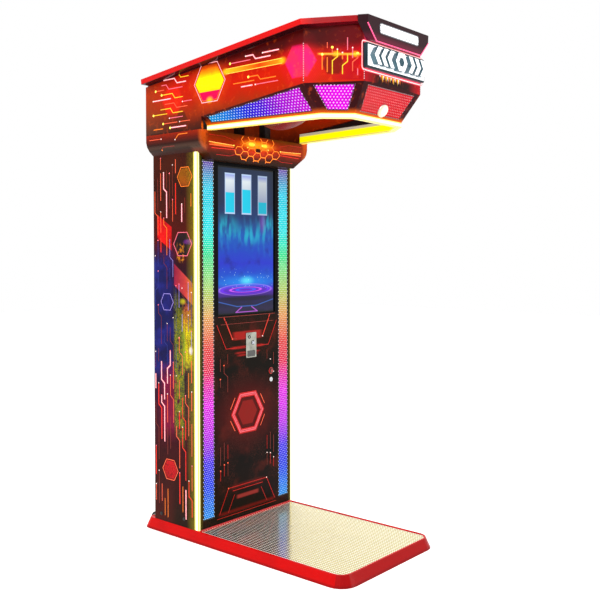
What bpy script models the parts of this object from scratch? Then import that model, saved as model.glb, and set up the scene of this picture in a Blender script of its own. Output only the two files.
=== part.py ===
"""Boxing punch machine: a column with a screen on a low platform, and a head that overhangs the player
and holds a punch ball on a swing arm. Metres, +Z up, the player's side at -Y. The origin is on the floor
under the middle of the column's front face."""

import math

import bmesh
import bpy
from mathutils import Matrix, Vector

CLEAR = 0.0003  # running gap between neighbouring pieces

# Base
BASE_HALF = 0.3435
BASE_FRONT = -0.853
BASE_REAR = 0.377
BASE_HEIGHT = 0.047
BASE_SLOPE = 0.022  # how far the skirt leans in by its top edge
LIP_WIDTH = 0.008
CORE_INSET = 0.0385
TREAD_THICKNESS = 0.003
DECK_HEIGHT = 0.0405
FOOT_RADIUS = 0.020
WHEEL_RADIUS = 0.029
WHEEL_WIDTH = 0.032
WHEEL_PIN_RADIUS = 0.004
WHEEL_X = 0.270
WHEEL_Y = 0.352
WHEEL_Z = 0.031

# Column
COLUMN_HALF = 0.320
COLUMN_DEPTH = 0.308
COLUMN_FOOT = BASE_HEIGHT + CLEAR
COLUMN_TOP = 1.866
FASCIA_TOP = 1.785
SIDE_THICKNESS = 0.018
SHEET = 0.012  # front fascia, doors and rear panel
CORNER_LIGHT_WIDTH = 0.008
CORNER_LIGHT_DEPTH = 0.031
SCREEN_HALF = 0.195
SCREEN_LOW = 1.028
SCREEN_HIGH = 1.726
STRIP_IN = 0.2205
STRIP_OUT = 0.2935
STRIP_LOW = 0.088
STRIP_HIGH = 1.742
DOOR_HALF = 0.2075
DOOR_LOW = 0.082
DOOR_HIGH = 1.000
REAR_DOOR_HALF = 0.200
REAR_DOOR_LOW = 0.450
REAR_DOOR_HIGH = 1.350

# Coin unit and controls on the service door
COIN_LEFT, COIN_RIGHT, COIN_LOW, COIN_HIGH = -0.014, 0.057, 0.814, 0.935
COIN_X = (COIN_LEFT + COIN_RIGHT) / 2
COIN_PLATE = 0.004
CUP_LOW, CUP_HIGH, CUP_DEPTH = 0.819, 0.848, 0.045
FLAP_PIVOT_DROP = 0.0028
REJECT_X, REJECT_Z, REJECT_HALF = 0.034, 0.885, 0.008
START_X, START_Z, START_RADIUS = 0.167, 0.734, 0.0165
LOCK_X, LOCK_Z, LOCK_RADIUS = 0.165, 0.691, 0.011

# Rear fittings
FAN_Z = 1.550
FAN_HALF = 0.060
FAN_BORE = 0.055
INLET_X, INLET_Z = 0.240, 0.185

# Head
HEAD_HALF = 0.363
HEAD_CORNER_Y = -0.660
NOSE_HALF = 0.204
NOSE_Y = -0.840
HEAD_WALL = 0.010
ROOF_REAR_Y = 0.295
ROOF_REAR_Z = 2.124
ROOF_RISE = 0.1106  # rise of the roof per metre towards the front
RAIL_HALF = 0.404
RAIL_CORNER_Y = -0.677
RAIL_NOSE_HALF = 0.2486
RAIL_WIDTH = 0.055
RAIL_THICKNESS = 0.025
ROOF_THICKNESS = 0.003
ROOF_LEAN = 0.003  # the sloping rail's front edge leans forward by its lower side
CHEEK_LOW = 1.8665
FACET_REAR_Y = -0.072
CREASE_REAR_Z = 1.9213
CREASE_CORNER_Z = 1.9897
CREASE_NOSE_Z = 2.000
RIM_TOP = 1.885
RIM_LOW = 1.864
RIM_REAR_HALF = 0.3292
RIM_CORNER = (0.2646, -0.6657)
RIM_NOSE = (0.169, -0.768)
RIM_LIGHT_WIDTH = 0.014
RIM_FRAME_WIDTH = 0.012
RIM_FRAME_HIGH = 1.912
PANEL_MARGIN = 0.010
PANEL_END_MARGIN = 0.030
PANEL_THICKNESS = 0.006
PANEL_RECESS = 0.002
COLLAR_FRONT = -0.070
COLLAR_LOW = 1.741
VISOR_FRONT = -0.870
SIGN_HALF, SIGN_LOW, SIGN_HIGH = 0.212, 2.051, 2.150

# Ball and its arm
PIVOT = Vector((0.0, -0.620, 2.040))
STOW_DROP = math.radians(5.4)  # how far below level the stowed arm points
ARM = Vector((0.0, math.cos(STOW_DROP), -math.sin(STOW_DROP)))
ARM_LENGTH = 0.250
ARM_RADIUS = 0.020
AXLE_RADIUS = 0.0125
AXLE_HALF = 0.185
BALL_LENGTH = 0.280
BALL_RADIUS = 0.120
BALL_NECK = 0.050
FRAME_RAIL_X = 0.190
FRAME_BAR = 0.040
FRAME_Z = 2.020
LATCH_ALONG = 0.160  # from the pivot along the arm

FINISHES = {
    "red_paint": ((0.62, 0.02, 0.03), 0.25, 0.0),
    "maroon_paint": ((0.16, 0.01, 0.02), 0.30, 0.0),
    "printed_panel": ((0.30, 0.05, 0.03), 0.30, 0.0),
    "black_panel": ((0.02, 0.015, 0.018), 0.30, 0.0),
    "wood": ((0.30, 0.20, 0.12), 0.70, 0.0),
    "tread_aluminium": ((0.80, 0.80, 0.78), 0.30, 1.0),
    "zinc_steel": ((0.55, 0.56, 0.58), 0.35, 1.0),
    "black_rubber": ((0.03, 0.03, 0.03), 0.80, 0.0),
    "black_plastic": ((0.03, 0.03, 0.035), 0.45, 0.0),
    "glass": ((0.05, 0.10, 0.25), 0.08, 0.0),
    "light_diffuser": ((0.95, 0.90, 0.65), 0.40, 0.0),
    "led_mesh": ((0.30, 0.35, 0.80), 0.40, 0.0),
    "sign_white": ((0.95, 0.95, 0.98), 0.35, 0.0),
    "sign_teal": ((0.05, 0.16, 0.20), 0.35, 0.0),
    "chrome": ((0.80, 0.80, 0.82), 0.15, 1.0),
    "red_plastic": ((0.70, 0.03, 0.04), 0.25, 0.0),
    "red_leather": ((0.45, 0.02, 0.02), 0.45, 0.0),
    "board_green": ((0.03, 0.20, 0.08), 0.50, 0.0),
}


def clear_scene():
    for item in list(bpy.data.objects):
        bpy.data.objects.remove(item)


def new_collection(name):
    made = bpy.data.collections.new(name)
    bpy.context.scene.collection.children.link(made)
    return made


def finish_material(name):
    found = bpy.data.materials.get(name)
    if found:
        return found
    colour, roughness, metallic = FINISHES[name]
    made = bpy.data.materials.new(name)
    made.use_nodes = True
    shader = made.node_tree.nodes["Principled BSDF"]
    shader.inputs["Base Color"].default_value = (*colour, 1.0)
    shader.inputs["Roughness"].default_value = roughness
    shader.inputs["Metallic"].default_value = metallic
    return made


def add_mesh(name, mesh, finish, matrix=None):
    """A part with a finish, or a cutting or joining tool where finish is None."""
    made = bpy.data.objects.new(name, mesh)
    made.matrix_basis = matrix or Matrix.Identity(4)
    if finish:
        PARTS.objects.link(made)
        mesh.materials.append(finish_material(finish))
    else:
        TOOLS.objects.link(made)
        made.hide_render = True
        made.display_type = "WIRE"
    return made


def from_bmesh(name, bm, finish, matrix=None):
    mesh = bpy.data.meshes.new(name)
    bm.to_mesh(mesh)
    bm.free()
    return add_mesh(name, mesh, finish, matrix)


def box(name, low, high, finish=None, bevel=0.0):
    low, high = Vector(low), Vector(high)
    bm = bmesh.new()
    bmesh.ops.create_cube(bm, size=1.0)
    bmesh.ops.scale(bm, vec=high - low, verts=bm.verts)
    made = from_bmesh(name, bm, finish, Matrix.Translation((low + high) / 2))
    if bevel:
        round_edges(made, bevel)
    return made


def round_edges(piece, width, segments=2):
    bevel = piece.modifiers.new("rounded_edges", "BEVEL")
    bevel.width = width
    bevel.segments = segments
    bevel.limit_method = "ANGLE"
    bevel.angle_limit = math.radians(30)
    return piece


def towards(axis, place):
    """A placement whose local +Z points along axis."""
    turn = Vector((0, 0, 1)).rotation_difference(Vector(axis)).to_matrix().to_4x4()
    return Matrix.Translation(Vector(place)) @ turn


def cylinder(name, start, end, radius, finish=None, segments=32):
    start, end = Vector(start), Vector(end)
    bm = bmesh.new()
    bmesh.ops.create_cone(
        bm, cap_ends=True, segments=segments, radius1=radius, radius2=radius, depth=(end - start).length
    )
    made = from_bmesh(name, bm, finish, towards(end - start, (start + end) / 2))
    shade_round(made.data)
    return made


def shade_round(mesh):
    mesh.shade_smooth()
    mesh.set_sharp_from_angle(angle=math.radians(35))


def turned(name, profile, matrix, finish=None, steps=32):
    """A profile of (radius, height) points, from the top of the axis down the outside to its bottom."""
    mesh = bpy.data.meshes.new(name)
    mesh.from_pydata([(r, 0, z) for r, z in profile], [(i, i + 1) for i in range(len(profile) - 1)], [])
    made = add_mesh(name, mesh, finish, matrix)
    screw = made.modifiers.new("turn", "SCREW")
    screw.steps = screw.render_steps = steps
    screw.use_merge_vertices = True
    screw.merge_threshold = 0.00001
    screw.use_smooth_shade = True
    return made


def rounded(points, radius, steps=5):
    """An outline with each corner replaced by an arc. A point may carry its own radius as a third number."""
    made = []
    count = len(points)
    for i, point in enumerate(points):
        here = Vector(point[:2])
        before = (Vector(points[i - 1][:2]) - here).normalized()
        after = (Vector(points[(i + 1) % count][:2]) - here).normalized()
        r = point[2] if len(point) > 2 else radius
        if r <= 0:
            made.append(tuple(here))
            continue
        half = before.angle(after) / 2
        middle = (before + after).normalized()
        centre = here + middle * (r / math.sin(half))
        start = here + before * (r / math.tan(half)) - centre
        end = here + after * (r / math.tan(half)) - centre
        sweep = start.angle(end)
        for k in range(steps + 1):
            t = k / steps
            arm = (start * math.sin((1 - t) * sweep) + end * math.sin(t * sweep)) / math.sin(sweep)
            made.append(tuple(centre + arm))
    return made


def rectangle(left, right, low, high):
    return [(left, low), (right, low), (right, high), (left, high)]


def ring_of(centre, radius, steps=32):
    return [
        (centre[0] + radius * math.cos(a), centre[1] + radius * math.sin(a))
        for a in (2 * math.pi * k / steps for k in range(steps))
    ]


def plate(name, outlines, thickness, place, x_axis, y_axis, finish=None):
    """A flat plate. Its outer face holds place, x_axis and y_axis; the metal lies behind it, away from
    x_axis cross y_axis. The outlines after the first are holes."""
    curve = bpy.data.curves.new(name, "CURVE")
    curve.dimensions = "2D"
    curve.fill_mode = "BOTH"
    curve.extrude = thickness / 2
    for outline in outlines:
        spline = curve.splines.new("POLY")
        spline.points.add(len(outline) - 1)
        spline.use_cyclic_u = True
        for point, (x, y) in zip(spline.points, outline):
            point.co = (x, y, 0, 1)
    holder = bpy.data.objects.new(name, curve)
    bpy.context.scene.collection.objects.link(holder)
    shown = holder.evaluated_get(bpy.context.evaluated_depsgraph_get())
    mesh = bpy.data.meshes.new_from_object(shown)
    bpy.data.objects.remove(holder)
    bpy.data.curves.remove(curve)
    bm = bmesh.new()
    bm.from_mesh(mesh)
    bmesh.ops.remove_doubles(bm, verts=bm.verts, dist=0.00001)
    bmesh.ops.translate(bm, vec=(0, 0, -thickness / 2), verts=bm.verts)
    bmesh.ops.recalc_face_normals(bm, faces=bm.faces)
    bm.to_mesh(mesh)
    bm.free()
    mesh.name = name
    x, y = Vector(x_axis).normalized(), Vector(y_axis).normalized()
    turn = Matrix((x, y, x.cross(y))).transposed().to_4x4()
    return add_mesh(name, mesh, finish, Matrix.Translation(Vector(place)) @ turn)


def facing_front(name, outlines, thickness, y, finish=None):
    """A plate in X and Z whose outer face, at y, looks at the player."""
    return plate(name, outlines, thickness, (0, y, 0), (1, 0, 0), (0, 0, 1), finish)


def facing_rear(name, outlines, thickness, y, finish=None):
    """A plate in X and Z whose outer face, at y, looks backwards. Outlines are mirrored in X to suit."""
    mirrored = [[(-x, z) for x, z in outline] for outline in outlines]
    return plate(name, mirrored, thickness, (0, y, 0), (-1, 0, 0), (0, 0, 1), finish)


def lying(name, outlines, low, high, finish=None):
    """An outline in X and Y raised from low to high."""
    return plate(name, outlines, high - low, (0, 0, high), (1, 0, 0), (0, 1, 0), finish)


def loft(name, rings, finish=None):
    """A closed body through rings of equally many points, bottom ring first, each turning left."""
    bm = bmesh.new()
    rows = [[bm.verts.new(p) for p in ring] for ring in rings]
    for low, high in zip(rows, rows[1:]):
        for i in range(len(low)):
            j = (i + 1) % len(low)
            bm.faces.new((low[i], low[j], high[j], high[i]))
    bm.faces.new(rows[0][::-1])
    bm.faces.new(rows[-1])
    return from_bmesh(name, bm, finish)


def boolean(piece, operation, tools):
    for tool in tools:
        step = piece.modifiers.new(tool.name, "BOOLEAN")
        step.operation = operation
        step.object = tool
        step.solver = "EXACT"
    return piece


def cut(piece, *tools):
    return boolean(piece, "DIFFERENCE", tools)


def join(piece, *tools):
    return boolean(piece, "UNION", tools)


def move_origin(piece, point):
    """Puts a piece's origin on its joint's axis without moving its shape."""
    local = piece.matrix_basis.inverted() @ Vector(point)
    piece.data.transform(Matrix.Translation(-local))
    piece.matrix_basis = piece.matrix_basis @ Matrix.Translation(local)
    return piece


def carried_by(name, point, *pieces):
    """An empty on a joint's axis that carries the pieces that turn with it."""
    empty = bpy.data.objects.new(name, None)
    empty.location = point
    empty.empty_display_size = 0.1
    PARTS.objects.link(empty)
    for piece in pieces:
        piece.parent = empty
        piece.matrix_parent_inverse = Matrix.Translation(-Vector(point))
    return empty


def both_sides():
    return (("left", -1), ("right", 1))


# ---------------------------------------------------------------- base


def base_outline(inset, height):
    half, front, rear = BASE_HALF - inset, BASE_FRONT + inset, BASE_REAR - inset
    corners = [
        (-half, front, 0.078 - inset),
        (half, front, 0.078 - inset),
        (half, rear, 0.048 - inset),
        (-half, rear, 0.048 - inset),
    ]
    return [(x, y, height) for x, y in rounded(corners, 0)]


def flat(outline):
    return [(x, y) for x, y, _ in outline]


def make_base():
    core_outline = flat(base_outline(CORE_INSET, 0))
    pocket_outline = flat(base_outline(CORE_INSET - CLEAR, 0))
    tread_inset = BASE_SLOPE + LIP_WIDTH

    skirt = loft("base_skirt", [base_outline(0, 0), base_outline(BASE_SLOPE, BASE_HEIGHT)], "red_paint")
    core_room = lying("core_room", [pocket_outline], -0.01, BASE_HEIGHT + 0.01)
    tread_room = lying("tread_room", [flat(base_outline(tread_inset, 0))], DECK_HEIGHT, BASE_HEIGHT + 0.01)
    behind = box("behind_tread", (-1, -CLEAR, 0), (1, 1, 0.1))
    cut(tread_room, behind)
    notches = [
        box(
            f"wheel_notch_{side}",
            (sign * WHEEL_X - WHEEL_WIDTH / 2 - 0.004, 0.319, -0.01),
            (sign * WHEEL_X + WHEEL_WIDTH / 2 + 0.004, 0.400, 0.060),
        )
        for side, sign in both_sides()
    ]
    pins = [
        cylinder(
            f"wheel_pin_{side}",
            (sign * WHEEL_X - WHEEL_WIDTH, WHEEL_Y, WHEEL_Z),
            (sign * WHEEL_X + WHEEL_WIDTH, WHEEL_Y, WHEEL_Z),
            WHEEL_PIN_RADIUS,
        )
        for side, sign in both_sides()
    ]
    cut(skirt, core_room, tread_room, *notches)
    join(skirt, *pins)

    core = lying("base_core", [core_outline], 0, BASE_HEIGHT, "wood")
    front_deck = box("front_deck_room", (-1, -1, DECK_HEIGHT), (1, 0, 0.1))
    cut(core, front_deck, *notches)

    tread = lying(
        "tread_plate",
        [flat(base_outline(tread_inset + CLEAR, 0))],
        DECK_HEIGHT + CLEAR,
        DECK_HEIGHT + CLEAR + TREAD_THICKNESS,
        "tread_aluminium",
    )
    cut(tread, box("behind_plate", (-1, -0.001, 0), (1, 1, 0.1)))

    for number, (x, y) in enumerate(((-0.24, -0.72), (0.24, -0.72), (-0.24, 0.24), (0.24, 0.24)), 1):
        profile = [(0, 0.034), (0.006, 0.034), (0.006, 0.010), (FOOT_RADIUS, 0.007), (FOOT_RADIUS, 0), (0, 0)]
        turned(f"levelling_foot_{number}", profile, Matrix.Translation((x, y, 0)), "black_rubber", 24)
        room = [(0, 0.0345), (0.0065, 0.0345), (0.0065, 0.012)]
        room += [(FOOT_RADIUS + 0.002, 0.012), (FOOT_RADIUS + 0.002, -0.01), (0, -0.01)]
        cut(core, turned(f"foot_room_{number}", room, Matrix.Translation((x, y, 0)), None, 24))

    for side, sign in both_sides():
        half = WHEEL_WIDTH / 2
        profile = [
            (WHEEL_PIN_RADIUS + 0.0004, half),
            (0.012, half),
            (0.013, half - 0.003),
            (WHEEL_RADIUS - 0.006, half - 0.003),
            (WHEEL_RADIUS - 0.004, half),
            (WHEEL_RADIUS, half - 0.005),
        ]
        profile += [(r, -z) for r, z in reversed(profile)]
        turned_ring(
            f"transport_wheel_{side}",
            profile,
            towards((1, 0, 0), (sign * WHEEL_X, WHEEL_Y, WHEEL_Z)),
            "black_rubber",
        )


def turned_ring(name, profile, matrix, finish=None, steps=32):
    """A turned body with a bore: the profile of (radius, height) closes on itself."""
    mesh = bpy.data.meshes.new(name)
    count = len(profile)
    mesh.from_pydata([(r, 0, z) for r, z in profile], [(i, (i + 1) % count) for i in range(count)], [])
    made = add_mesh(name, mesh, finish, matrix)
    screw = made.modifiers.new("turn", "SCREW")
    screw.steps = screw.render_steps = steps
    screw.use_merge_vertices = True
    screw.merge_threshold = 0.00001
    screw.use_smooth_shade = True
    return made


# ---------------------------------------------------------------- column


def make_column_shell():
    inner = COLUMN_HALF - SIDE_THICKNESS
    light_back = COLUMN_HALF - CORNER_LIGHT_WIDTH - CLEAR
    light_end = CORNER_LIGHT_DEPTH + CLEAR
    for side, sign in both_sides():
        outline = [
            (inner, SHEET + 0.0005),
            (light_back, SHEET + 0.0005),
            (light_back, light_end),
            (COLUMN_HALF, light_end),
            (COLUMN_HALF, COLUMN_DEPTH),
            (inner, COLUMN_DEPTH),
        ]
        outline = [(sign * x, y) for x, y in outline]
        lying(f"side_panel_{side}", [outline], COLUMN_FOOT, COLUMN_TOP, "printed_panel")
        light = [
            (sign * (light_back + CLEAR), 0, 0),
            (sign * COLUMN_HALF, 0, 0.004),
            (sign * COLUMN_HALF, CORNER_LIGHT_DEPTH, 0),
            (sign * (light_back + CLEAR), CORNER_LIGHT_DEPTH, 0),
        ]
        lying(
            f"corner_light_{side}", [rounded(light, 0)], COLUMN_FOOT + 0.002, FASCIA_TOP, "light_diffuser"
        )

    fascia_half = light_back - CLEAR
    openings = [
        rectangle(-STRIP_OUT, -STRIP_IN, STRIP_LOW, STRIP_HIGH),
        rectangle(STRIP_IN, STRIP_OUT, STRIP_LOW, STRIP_HIGH),
        rectangle(-SCREEN_HALF, SCREEN_HALF, SCREEN_LOW, SCREEN_HIGH),
        rectangle(-DOOR_HALF - CLEAR, DOOR_HALF + CLEAR, DOOR_LOW - CLEAR, DOOR_HIGH + CLEAR),
    ]
    outline = rectangle(-fascia_half, fascia_half, COLUMN_FOOT + 0.002, FASCIA_TOP)
    facing_front("front_fascia", [outline, *openings], SHEET, 0, "black_panel")

    for side, sign in both_sides():
        ends = sorted((sign * (STRIP_IN + CLEAR), sign * (STRIP_OUT - CLEAR)))
        strip = rectangle(*ends, STRIP_LOW + CLEAR, STRIP_HIGH - CLEAR)
        facing_front(f"mesh_strip_{side}", [strip], PANEL_THICKNESS, 0.001, "led_mesh")

    cover = rectangle(-SCREEN_HALF + CLEAR, SCREEN_HALF - CLEAR, SCREEN_LOW + CLEAR, SCREEN_HIGH - CLEAR)
    facing_front("screen_cover", [cover], 0.004, 0.005, "glass")
    monitor = box(
        "monitor", (-0.212, SHEET + CLEAR, 1.012), (0.212, 0.034, 1.742), "black_plastic", bevel=0.002
    )
    join(monitor, box("monitor_back", (-0.110, 0.030, 1.200), (0.110, 0.052, 1.560)))


def make_rear():
    inner = COLUMN_HALF - SIDE_THICKNESS - CLEAR
    slots = [
        rectangle(-0.045, 0.045, FAN_Z + step * 0.012 - 0.003, FAN_Z + step * 0.012 + 0.003)
        for step in range(-4, 5)
    ]
    door_room = rectangle(
        -REAR_DOOR_HALF - CLEAR, REAR_DOOR_HALF + CLEAR, REAR_DOOR_LOW - CLEAR, REAR_DOOR_HIGH + CLEAR
    )
    inlet_room = rectangle(INLET_X - 0.0255, INLET_X + 0.0255, INLET_Z - 0.0355, INLET_Z + 0.0355)
    outline = rectangle(-inner, inner, COLUMN_FOOT, COLUMN_TOP)
    facing_rear(
        "rear_panel", [outline, door_room, inlet_room, *slots], SHEET, COLUMN_DEPTH, "black_panel"
    )

    lock_x, lock_z = 0.170, 0.900
    door = facing_rear(
        "rear_door",
        [
            rectangle(-REAR_DOOR_HALF, REAR_DOOR_HALF, REAR_DOOR_LOW, REAR_DOOR_HIGH),
            ring_of((lock_x, lock_z), LOCK_RADIUS + CLEAR),
        ],
        SHEET,
        COLUMN_DEPTH,
        "black_panel",
    )
    lock = make_lock("rear_door_lock", (lock_x, COLUMN_DEPTH, lock_z), 1)
    carried_by("rear_door_hinge", (-REAR_DOOR_HALF, COLUMN_DEPTH, lock_z), door, lock)

    make_fan()
    make_inlet()


def make_lock(name, face, outward):
    """A cam lock whose face looks along outward * Y; its cam points down, clear of the door frame."""
    x, y, z = face
    lock = cylinder(
        name, (x, y + outward * 0.003, z), (x, y - outward * 0.0165, z), LOCK_RADIUS, "chrome", 32
    )
    cam_y = sorted((y - outward * 0.016, y - outward * 0.019))
    cam = box(f"{name}_cam", (x - 0.008, cam_y[0], z - 0.052), (x + 0.008, cam_y[1], z + 0.008))
    slit_y = sorted((y + outward * 0.004, y - outward * 0.002))
    slit = box(f"{name}_slit", (x - 0.001, slit_y[0], z - 0.0045), (x + 0.001, slit_y[1], z + 0.0045))
    join(lock, cam)
    cut(lock, slit)
    return move_origin(lock, face)


def make_fan():
    back = COLUMN_DEPTH - SHEET - CLEAR
    front = back - 0.025
    body = box(
        "fan_body", (-FAN_HALF, front, FAN_Z - FAN_HALF), (FAN_HALF, back, FAN_Z + FAN_HALF), "black_plastic"
    )
    bore = cylinder("fan_bore", (0, front - 0.01, FAN_Z), (0, back + 0.01, FAN_Z), FAN_BORE)
    strut = box("fan_strut", (-0.058, front, FAN_Z - 0.005), (0.058, front + 0.004, FAN_Z + 0.005))
    boss = cylinder("fan_boss", (0, front, FAN_Z), (0, front + 0.005, FAN_Z), 0.018)
    cut(body, bore)
    join(body, strut, boss)

    rotor = cylinder(
        "fan_rotor", (0, front + 0.0065, FAN_Z), (0, back - 0.002, FAN_Z), 0.019, "black_plastic", 28
    )
    middle = (front + 0.0065 + back - 0.002) / 2
    for number in range(7):
        bm = bmesh.new()
        bmesh.ops.create_cube(bm, size=1.0)
        bmesh.ops.scale(bm, vec=(0.038, 0.0016, 0.020), verts=bm.verts)
        bmesh.ops.rotate(bm, matrix=Matrix.Rotation(math.radians(32), 3, "X"), verts=bm.verts)
        bmesh.ops.translate(bm, vec=(0.034, 0, 0), verts=bm.verts)
        turn = Matrix.Rotation(2 * math.pi * number / 7, 4, "Y")
        join(
            rotor,
            from_bmesh(f"fan_blade_{number}", bm, None, Matrix.Translation((0, middle, FAN_Z)) @ turn),
        )
    move_origin(rotor, (0, middle, FAN_Z))


def make_inlet():
    """Mains inlet and rocker switch in one snap-in housing."""
    y = COLUMN_DEPTH
    body = box(
        "power_inlet",
        (INLET_X - 0.025, y - 0.028, INLET_Z - 0.035),
        (INLET_X + 0.025, y + 0.001, INLET_Z + 0.035),
        "black_plastic",
    )
    flange = box(
        "inlet_flange",
        (INLET_X - 0.029, y + CLEAR, INLET_Z - 0.039),
        (INLET_X + 0.029, y + 0.0035, INLET_Z + 0.039),
    )
    socket = box(
        "inlet_socket",
        (INLET_X - 0.0135, y - 0.016, INLET_Z - 0.028),
        (INLET_X + 0.0135, y + 0.010, INLET_Z - 0.008),
    )
    rocker_room = box(
        "rocker_room",
        (INLET_X - 0.0110, y - 0.010, INLET_Z + 0.003),
        (INLET_X + 0.0110, y + 0.010, INLET_Z + 0.031),
    )
    join(body, flange)
    cut(body, socket, rocker_room)

    pivot_y, pivot_z = y + 0.001, INLET_Z + 0.017
    outline = [(-0.006, -0.007), (-0.006, 0.007), (0.002, 0.0115), (0.000, 0), (0.002, -0.0115)]
    rocker = plate(
        "power_switch",
        [outline],
        0.021,
        (INLET_X + 0.0105, pivot_y, pivot_z),
        (0, 1, 0),
        (0, 0, 1),
        "red_plastic",
    )
    move_origin(rocker, (INLET_X, pivot_y, pivot_z))
    rocker.matrix_basis = rocker.matrix_basis @ Matrix.Rotation(math.radians(-10), 4, "Z")


# ---------------------------------------------------------------- service door


def make_service_door():
    coin_room = rectangle(COIN_LEFT + 0.005, COIN_RIGHT - 0.005, COIN_LOW + 0.003, COIN_HIGH - 0.006)
    door = facing_front(
        "service_door",
        [
            rectangle(-DOOR_HALF, DOOR_HALF, DOOR_LOW, DOOR_HIGH),
            coin_room,
            ring_of((START_X, START_Z), 0.0140),
            ring_of((LOCK_X, LOCK_Z), LOCK_RADIUS + CLEAR),
        ],
        SHEET,
        0,
        "black_panel",
    )
    lock_ring = turned_ring(
        "lock_ring",
        [(LOCK_RADIUS + 0.0004, 0.0015), (0.0150, 0.0015), (0.0165, 0.0005), (0.0165, -0.001)]
        + [(LOCK_RADIUS + 0.0004, -0.001)],
        towards((0, -1, 0), (LOCK_X, 0, LOCK_Z)),
    )
    join(door, lock_ring)
    lock = make_lock("door_lock", (LOCK_X, 0, LOCK_Z), -1)
    pieces = [door, lock, *make_coin_unit(), *make_start_button()]
    carried_by("service_door_hinge", (-DOOR_HALF, 0, LOCK_Z), *pieces)


def make_coin_unit():
    face = -CLEAR - COIN_PLATE
    outline = rounded(rectangle(COIN_LEFT, COIN_RIGHT, COIN_LOW, COIN_HIGH), 0.003, 3)
    slot = rectangle(0.012, 0.0145, 0.905, 0.929)
    reject_room = rectangle(
        REJECT_X - REJECT_HALF - 0.0004,
        REJECT_X + REJECT_HALF + 0.0004,
        REJECT_Z - REJECT_HALF - 0.0004,
        REJECT_Z + REJECT_HALF + 0.0004,
    )
    cup_mouth = rectangle(-0.0055, 0.0485, CUP_LOW, CUP_HIGH)
    bezel = facing_front("coin_plate", [outline, slot, reject_room, cup_mouth], COIN_PLATE, face, "chrome")
    cup = box("cup_block", (-0.0085, -0.001, CUP_LOW - 0.0015), (0.0515, CUP_DEPTH, CUP_HIGH + 0.0015))
    cup_room = box("cup_room", (-0.0055, -0.010, CUP_LOW), (0.0485, CUP_DEPTH - 0.0015, CUP_HIGH))
    join(bezel, cup)
    cut(bezel, cup_room)

    flap = box(
        "coin_return_flap",
        (-0.0050, face + 0.0010, CUP_LOW + 0.0006),
        (0.0480, face + 0.0026, CUP_HIGH - 0.0010),
        "black_plastic",
    )
    rod = cylinder(
        "flap_rod",
        (-0.0050, face + 0.0026, CUP_HIGH - FLAP_PIVOT_DROP),
        (0.0480, face + 0.0026, CUP_HIGH - FLAP_PIVOT_DROP),
        0.0015,
        None,
        12,
    )
    join(flap, rod)
    move_origin(flap, (COIN_X, face + 0.0026, CUP_HIGH - FLAP_PIVOT_DROP))

    reject = box(
        "coin_return_button",
        (REJECT_X - REJECT_HALF, face - 0.0050, REJECT_Z - REJECT_HALF),
        (REJECT_X + REJECT_HALF, face + 0.0050, REJECT_Z + REJECT_HALF),
        "light_diffuser",
        bevel=0.001,
    )
    validator = box("coin_validator", (-0.0085, 0.0080, 0.8510), (0.0515, 0.0800, 0.9285), "black_plastic")
    chute = box("coin_chute", (0.010, 0.0020, 0.900), (0.017, 0.0100, 0.9275))
    join(validator, chute)
    cut(validator, box("coin_path", (0.012, -0.01, 0.905), (0.0145, 0.060, 0.9255)))
    return [bezel, flap, reject, validator]


def make_start_button():
    housing = turned_ring(
        "start_button_housing",
        [
            (0.0122, 0.0022),
            (0.0145, 0.0026),
            (START_RADIUS, 0.0010),
            (START_RADIUS, CLEAR),
            (0.0136, CLEAR),
            (0.0136, -0.040),
            (0.0122, -0.040),
        ],
        towards((0, -1, 0), (START_X, 0, START_Z)),
        "red_plastic",
    )
    profile = [(0, 0.0070), (0.0100, 0.0070), (0.0118, 0.0055), (0.0118, -0.030), (0, -0.030)]
    button = turned(
        "start_button", profile, towards((0, -1, 0), (START_X, 0, START_Z)), "black_plastic", 32
    )
    return [housing, button]


# ---------------------------------------------------------------- inside the column


def make_column_contents():
    cash_box = box("cash_box", (-0.140, 0.060, COLUMN_FOOT), (0.140, 0.250, 0.200), "zinc_steel")
    cut(cash_box, box("cash_room", (-0.138, 0.062, COLUMN_FOOT + 0.002), (0.138, 0.248, 0.300)))

    inner = COLUMN_HALF - SIDE_THICKNESS - CLEAR
    supply = box("power_supply", (inner - 0.050, 0.120, 0.550), (inner, 0.235, 0.750), "zinc_steel")
    terminals = box("supply_terminals", (inner - 0.060, 0.130, 0.560), (inner - 0.030, 0.225, 0.585))
    cut(supply, terminals)

    board_x = -inner + 0.008
    board = box("game_board", (board_x, 0.080, 0.600), (board_x + 0.0016, 0.260, 0.850), "board_green")
    for number, (y, z) in enumerate(((0.09, 0.61), (0.25, 0.61), (0.09, 0.84), (0.25, 0.84))):
        join(
            board,
            cylinder(f"standoff_{number}", (-inner + 0.0003, y, z), (board_x + 0.001, y, z), 0.003, None, 12),
        )
    for number, (y, z, half) in enumerate(((0.15, 0.72, 0.020), (0.21, 0.78, 0.012), (0.12, 0.80, 0.009))):
        chip = box(
            f"chip_{number}",
            (board_x + 0.001, y - half, z - half),
            (board_x + 0.010, y + half, z + half),
        )
        join(board, chip)


# ---------------------------------------------------------------- head


def roof_z(y, below=0.0):
    """Height of the roof's plane at y, or of the plane that lies below it."""
    return ROOF_REAR_Z + ROOF_RISE * (ROOF_REAR_Y - y) - below * math.hypot(1, ROOF_RISE)


def on_roof(name, outlines, below, thickness, finish=None):
    """A plate on the sloping roof. Outlines are in X and world Y."""
    stretch = math.hypot(1, ROOF_RISE)
    sloped = [[(-x, (ROOF_REAR_Y - y) * stretch) for x, y in outline] for outline in outlines]
    place = (0, ROOF_REAR_Y, roof_z(ROOF_REAR_Y, below))
    return plate(name, sloped, thickness, place, (-1, 0, 0), (0, -1, ROOF_RISE), finish)


def mirrored(half):
    """A closed outline from its +X half."""
    return [*half, *((-x, y) for x, y in reversed(half))]


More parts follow.
